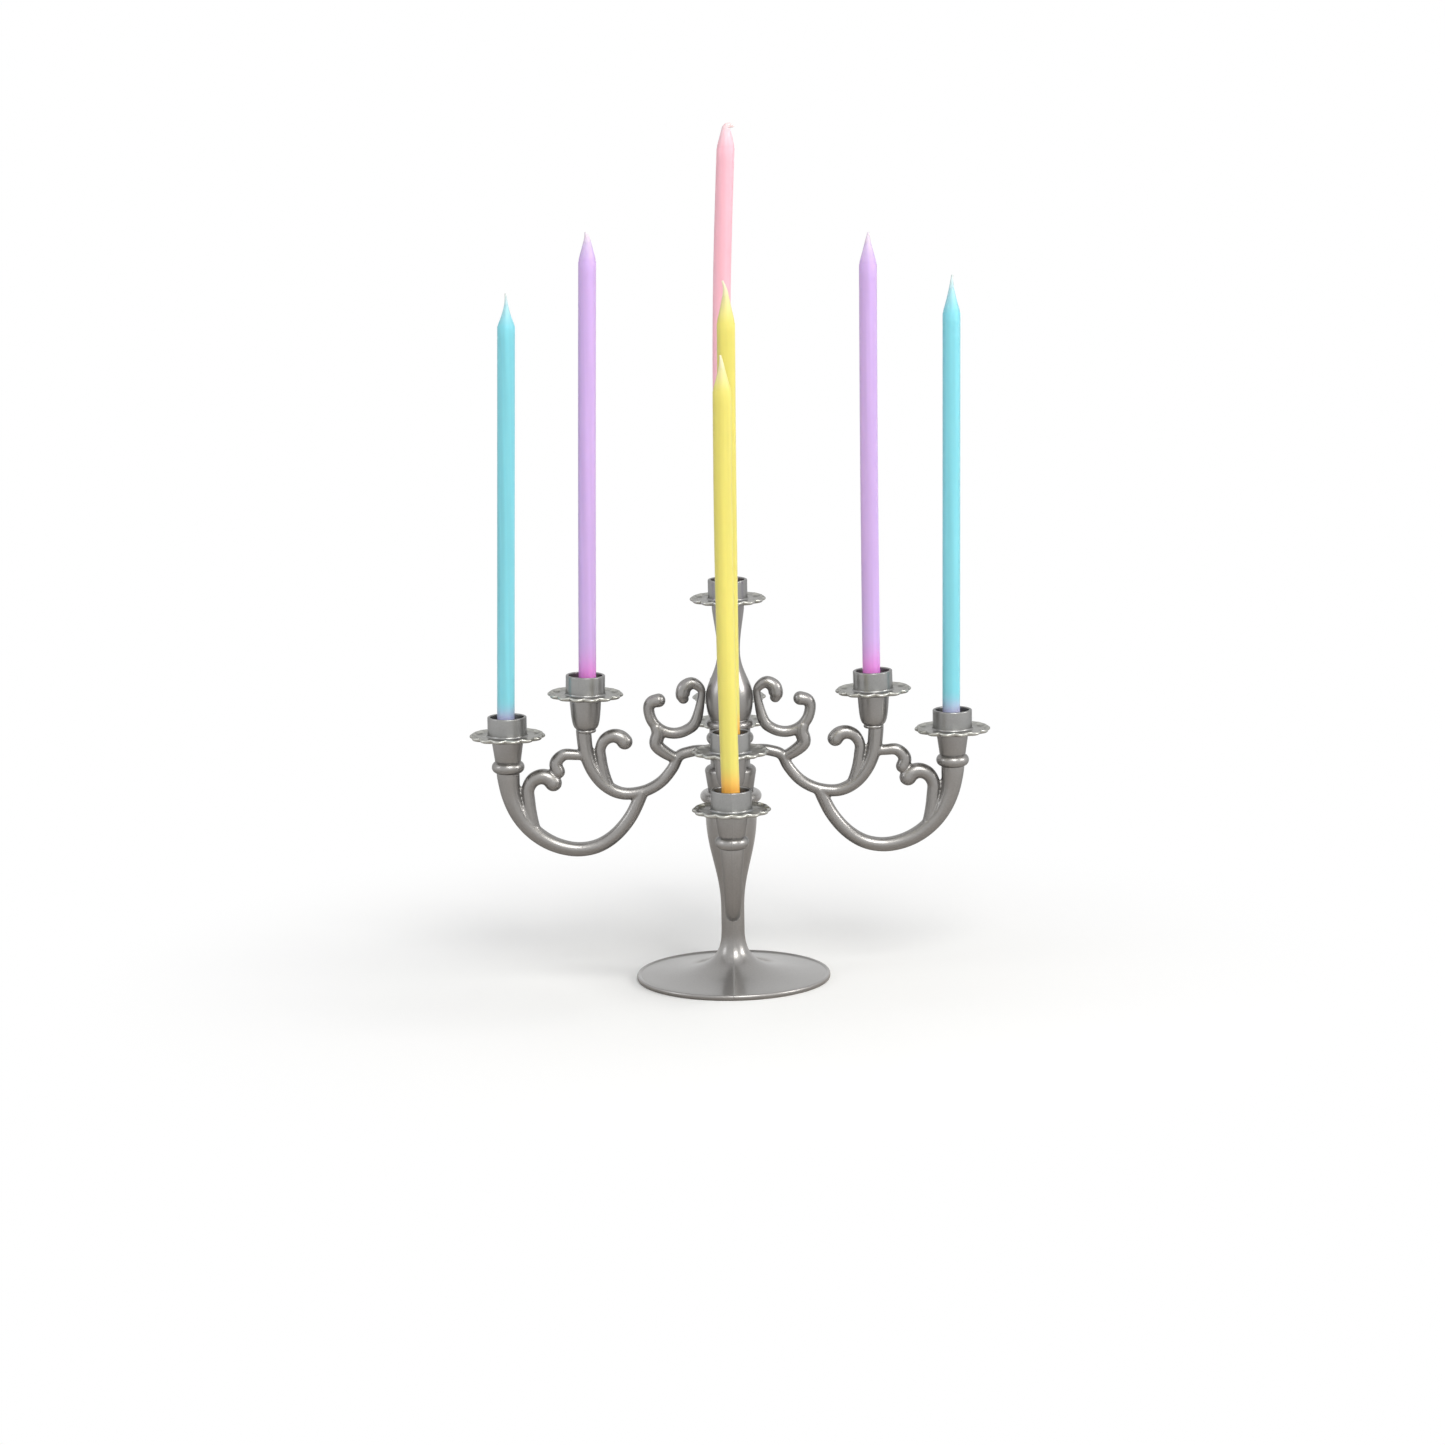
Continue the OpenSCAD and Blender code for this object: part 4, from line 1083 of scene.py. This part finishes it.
class CANDELABRA_OT_stage(Operator):
    """Set the pale floor, the soft studio light and the camera"""
    bl_idname = "candelabra.stage"
    bl_label = "Studio"

    # Lens position: elevation and roll in degrees, distance and target in metres
    elevation, roll, distance = 10.93, 0.95, 1.4
    target = Vector((-2.11, 0.0, 76.62)) * MM
    lens, sensor, near, far = 119.45, 36.0, 0.05, 50.0
    # Radius of the floor; size, place and height of the wall behind it, in metres
    floor_radius, wall_size, wall_back, wall_height = 4.0, 2.5, 2.6, 2.4
    # How far out the floor stays paper, and where the white backdrop has taken over for the lens and for
    # reflections, in metres
    paper_reach, lens_reach, mirror_reach = 0.03, 0.2, 0.42
    # Each lamp: its place and width in metres, its power in watts and its tint
    lamps = {"top_softbox": ((0.3, -1.15, 1.15), 0.75, 15.2, "#fffefb"),
             "right_softbox": ((1.35, -0.35, 0.7), 0.5, 7.4, "#fffdfa"),
             "left_softbox": ((-1.35, -0.35, 0.6), 0.45, 2.0, "#fafcff")}
    # Where the lamps point, in metres
    aim = Vector((0, 0, 0.1))

    def seen(self, tree):
        """1 for what the lens and reflections see, 0 for what lights the object."""
        path = node(tree, "ShaderNodeLightPath")
        first = node(tree, "ShaderNodeMath", [(0, path.outputs["Is Camera Ray"]),
                                              (1, path.outputs["Is Glossy Ray"])], operation="MAXIMUM")
        return node(tree, "ShaderNodeMath", [(0, first), (1, path.outputs["Is Transmission Ray"])],
                    operation="MAXIMUM")

    def make_floor(self, context):
        bm = bmesh.new()
        bmesh.ops.create_circle(bm, cap_ends=True, segments=96, radius=self.floor_radius)
        floor = new_object("floor", bm)
        material, tree = new_material("studio_paper")
        where = node(tree, "ShaderNodeTexCoord").outputs["Object"]
        # Paper fibres, about 2.5 mm across
        grain = node(tree, "ShaderNodeTexNoise", [("Vector", where)], Scale=1 / (2.5 * MM))
        tint = context.scene.candelabra_colours.floor
        base = node(tree, "ShaderNodeMix", [("Factor", grain), (MIX_A, shaded(tint, 0.985)),
                                            (MIX_B, (*tint, 1))], data_type="RGBA")
        # The paper throws less light back up than it shows, and warmer, so the undersides stay darker
        path = node(tree, "ShaderNodeLightPath")
        lens_ray = path.outputs["Is Camera Ray"]
        shown = node(tree, "ShaderNodeMix", [("Factor", lens_ray), (MIX_A, linear("#cbc5bf")),
                                             (MIX_B, base.outputs[MIX_OUT])], data_type="RGBA")
        paper = node(tree, "ShaderNodeBsdfPrincipled", [("Base Color", shown.outputs[MIX_OUT])],
                     Roughness=0.9)
        # Away from the object the paper goes over into the white backdrop
        away = node(tree, "ShaderNodeVectorMath", [(0, where)], operation="LENGTH")
        reach = node(tree, "ShaderNodeMapRange", [("Value", lens_ray)], To_Min=self.mirror_reach,
                     To_Max=self.lens_reach)
        fade = node(tree, "ShaderNodeMapRange", [("Value", away.outputs["Value"]), ("From Max", reach)],
                    interpolation_type="SMOOTHSTEP", From_Min=self.paper_reach)
        share = node(tree, "ShaderNodeMath", [(0, fade), (1, self.seen(tree))], operation="MULTIPLY")
        white = node(tree, "ShaderNodeEmission", Color=WHITE, Strength=1.0)
        mix = node(tree, "ShaderNodeMixShader", [("Fac", share), (1, paper), (2, white)])
        node(tree, "ShaderNodeOutputMaterial", [("Surface", mix)])
        floor.data.materials.append(material)

    def make_backdrop(self):
        """A white wall behind the object, which the plastic reflects at its rims."""
        bm = bmesh.new()
        bmesh.ops.create_grid(bm, x_segments=1, y_segments=1, size=self.wall_size)
        upright = (Matrix.Translation((0, self.wall_back, self.wall_height))
                   @ Matrix.Rotation(math.radians(90), 4, "X"))
        bmesh.ops.transform(bm, matrix=upright, verts=bm.verts)
        wall = new_object("backdrop", bm)
        material, tree = new_material("backdrop_paper")
        paper = node(tree, "ShaderNodeBsdfDiffuse", Color=linear("#eeeeee"))
        white = node(tree, "ShaderNodeEmission", Color=WHITE, Strength=1.0)
        mix = node(tree, "ShaderNodeMixShader", [("Fac", self.seen(tree)), (1, paper), (2, white)])
        node(tree, "ShaderNodeOutputMaterial", [("Surface", mix)])
        wall.data.materials.append(material)

    def make_lamps(self):
        for name, (at, width, power, tint) in self.lamps.items():
            light = bpy.data.lights.new(name, "AREA")
            light.shape = "SQUARE"
            light.size = width
            light.energy = power
            light.color = linear(tint)[:3]
            lamp = bpy.data.objects.new(name, light)
            bpy.context.scene.collection.objects.link(lamp)
            lamp.location = at
            lamp.rotation_euler = (self.aim - Vector(at)).to_track_quat("-Z", "Y").to_euler()

    def make_world(self, context):
        """White to the lens and to reflections, and a cooler half light on the object."""
        world = bpy.data.worlds.new("studio")
        context.scene.world = world
        world.use_nodes = True
        tree = world.node_tree
        tree.nodes.clear()
        backdrop = node(tree, "ShaderNodeBackground", Color=WHITE, Strength=1.0)
        fill = node(tree, "ShaderNodeBackground", Color=linear("#fcfdff"), Strength=0.5)
        mix = node(tree, "ShaderNodeMixShader", [("Fac", self.seen(tree)), (1, fill), (2, backdrop)])
        node(tree, "ShaderNodeOutputWorld", [("Surface", mix)])

    def make_camera(self, context):
        e, r = math.radians(self.elevation), math.radians(self.roll)
        data = bpy.data.cameras.new("camera")
        data.lens, data.sensor_width = self.lens, self.sensor
        data.clip_start, data.clip_end = self.near, self.far
        camera = bpy.data.objects.new("camera", data)
        context.scene.collection.objects.link(camera)
        back = Vector((0, -math.cos(e), math.sin(e)))
        up = Vector((0, math.sin(e), math.cos(e)))
        right = Vector((1, 0, 0))
        up, right = up * math.cos(r) + right * math.sin(r), right * math.cos(r) - up * math.sin(r)
        turn_to = Matrix((right, up, back)).transposed().to_4x4()
        camera.matrix_world = Matrix.Translation(self.target + back * self.distance) @ turn_to
        context.scene.camera = camera

    def execute(self, context):
        self.make_floor(context)
        self.make_backdrop()
        self.make_lamps()
        self.make_world(context)
        self.make_camera(context)
        context.scene.view_settings.view_transform = "Standard"
        return {"FINISHED"}


# ------------------------------------------------------------------------------ add-on

OPERATORS = (CANDELABRA_OT_base, CANDELABRA_OT_arms, CANDELABRA_OT_hubs, CANDELABRA_OT_finial,
             CANDELABRA_OT_nozzles, CANDELABRA_OT_candles, CANDELABRA_OT_wicks, CANDELABRA_OT_stage)


class CANDELABRA_PT_panel(Panel):
    """Sizes, colours and building steps of the candelabra"""
    bl_idname = "CANDELABRA_PT_panel"
    bl_label = "Candelabra"
    bl_space_type = "VIEW_3D"
    bl_region_type = "UI"
    bl_category = "Candelabra"

    def draw(self, context):
        for operator in OPERATORS:
            self.layout.operator(operator.bl_idname)
        for name, group in GROUPS:
            box = self.layout.box()
            for key in group.__annotations__:
                box.prop(getattr(context.scene, name), key)


CLASSES = tuple(group for _, group in GROUPS) + OPERATORS + (CANDELABRA_PT_panel,)


def register():
    for cls in CLASSES:
        bpy.utils.register_class(cls)
    for name, group in GROUPS:
        setattr(bpy.types.Scene, name, PointerProperty(type=group))


def unregister():
    for name, _ in GROUPS:
        delattr(bpy.types.Scene, name)
    for cls in reversed(CLASSES):
        bpy.utils.unregister_class(cls)


def main():
    register()
    bpy.ops.candelabra.base()
    bpy.ops.candelabra.arms()
    bpy.ops.candelabra.hubs()
    bpy.ops.candelabra.finial()
    bpy.ops.candelabra.nozzles()
    bpy.ops.candelabra.candles()
    bpy.ops.candelabra.wicks()
    bpy.ops.candelabra.stage()


if __name__ == "__main__":
    main()
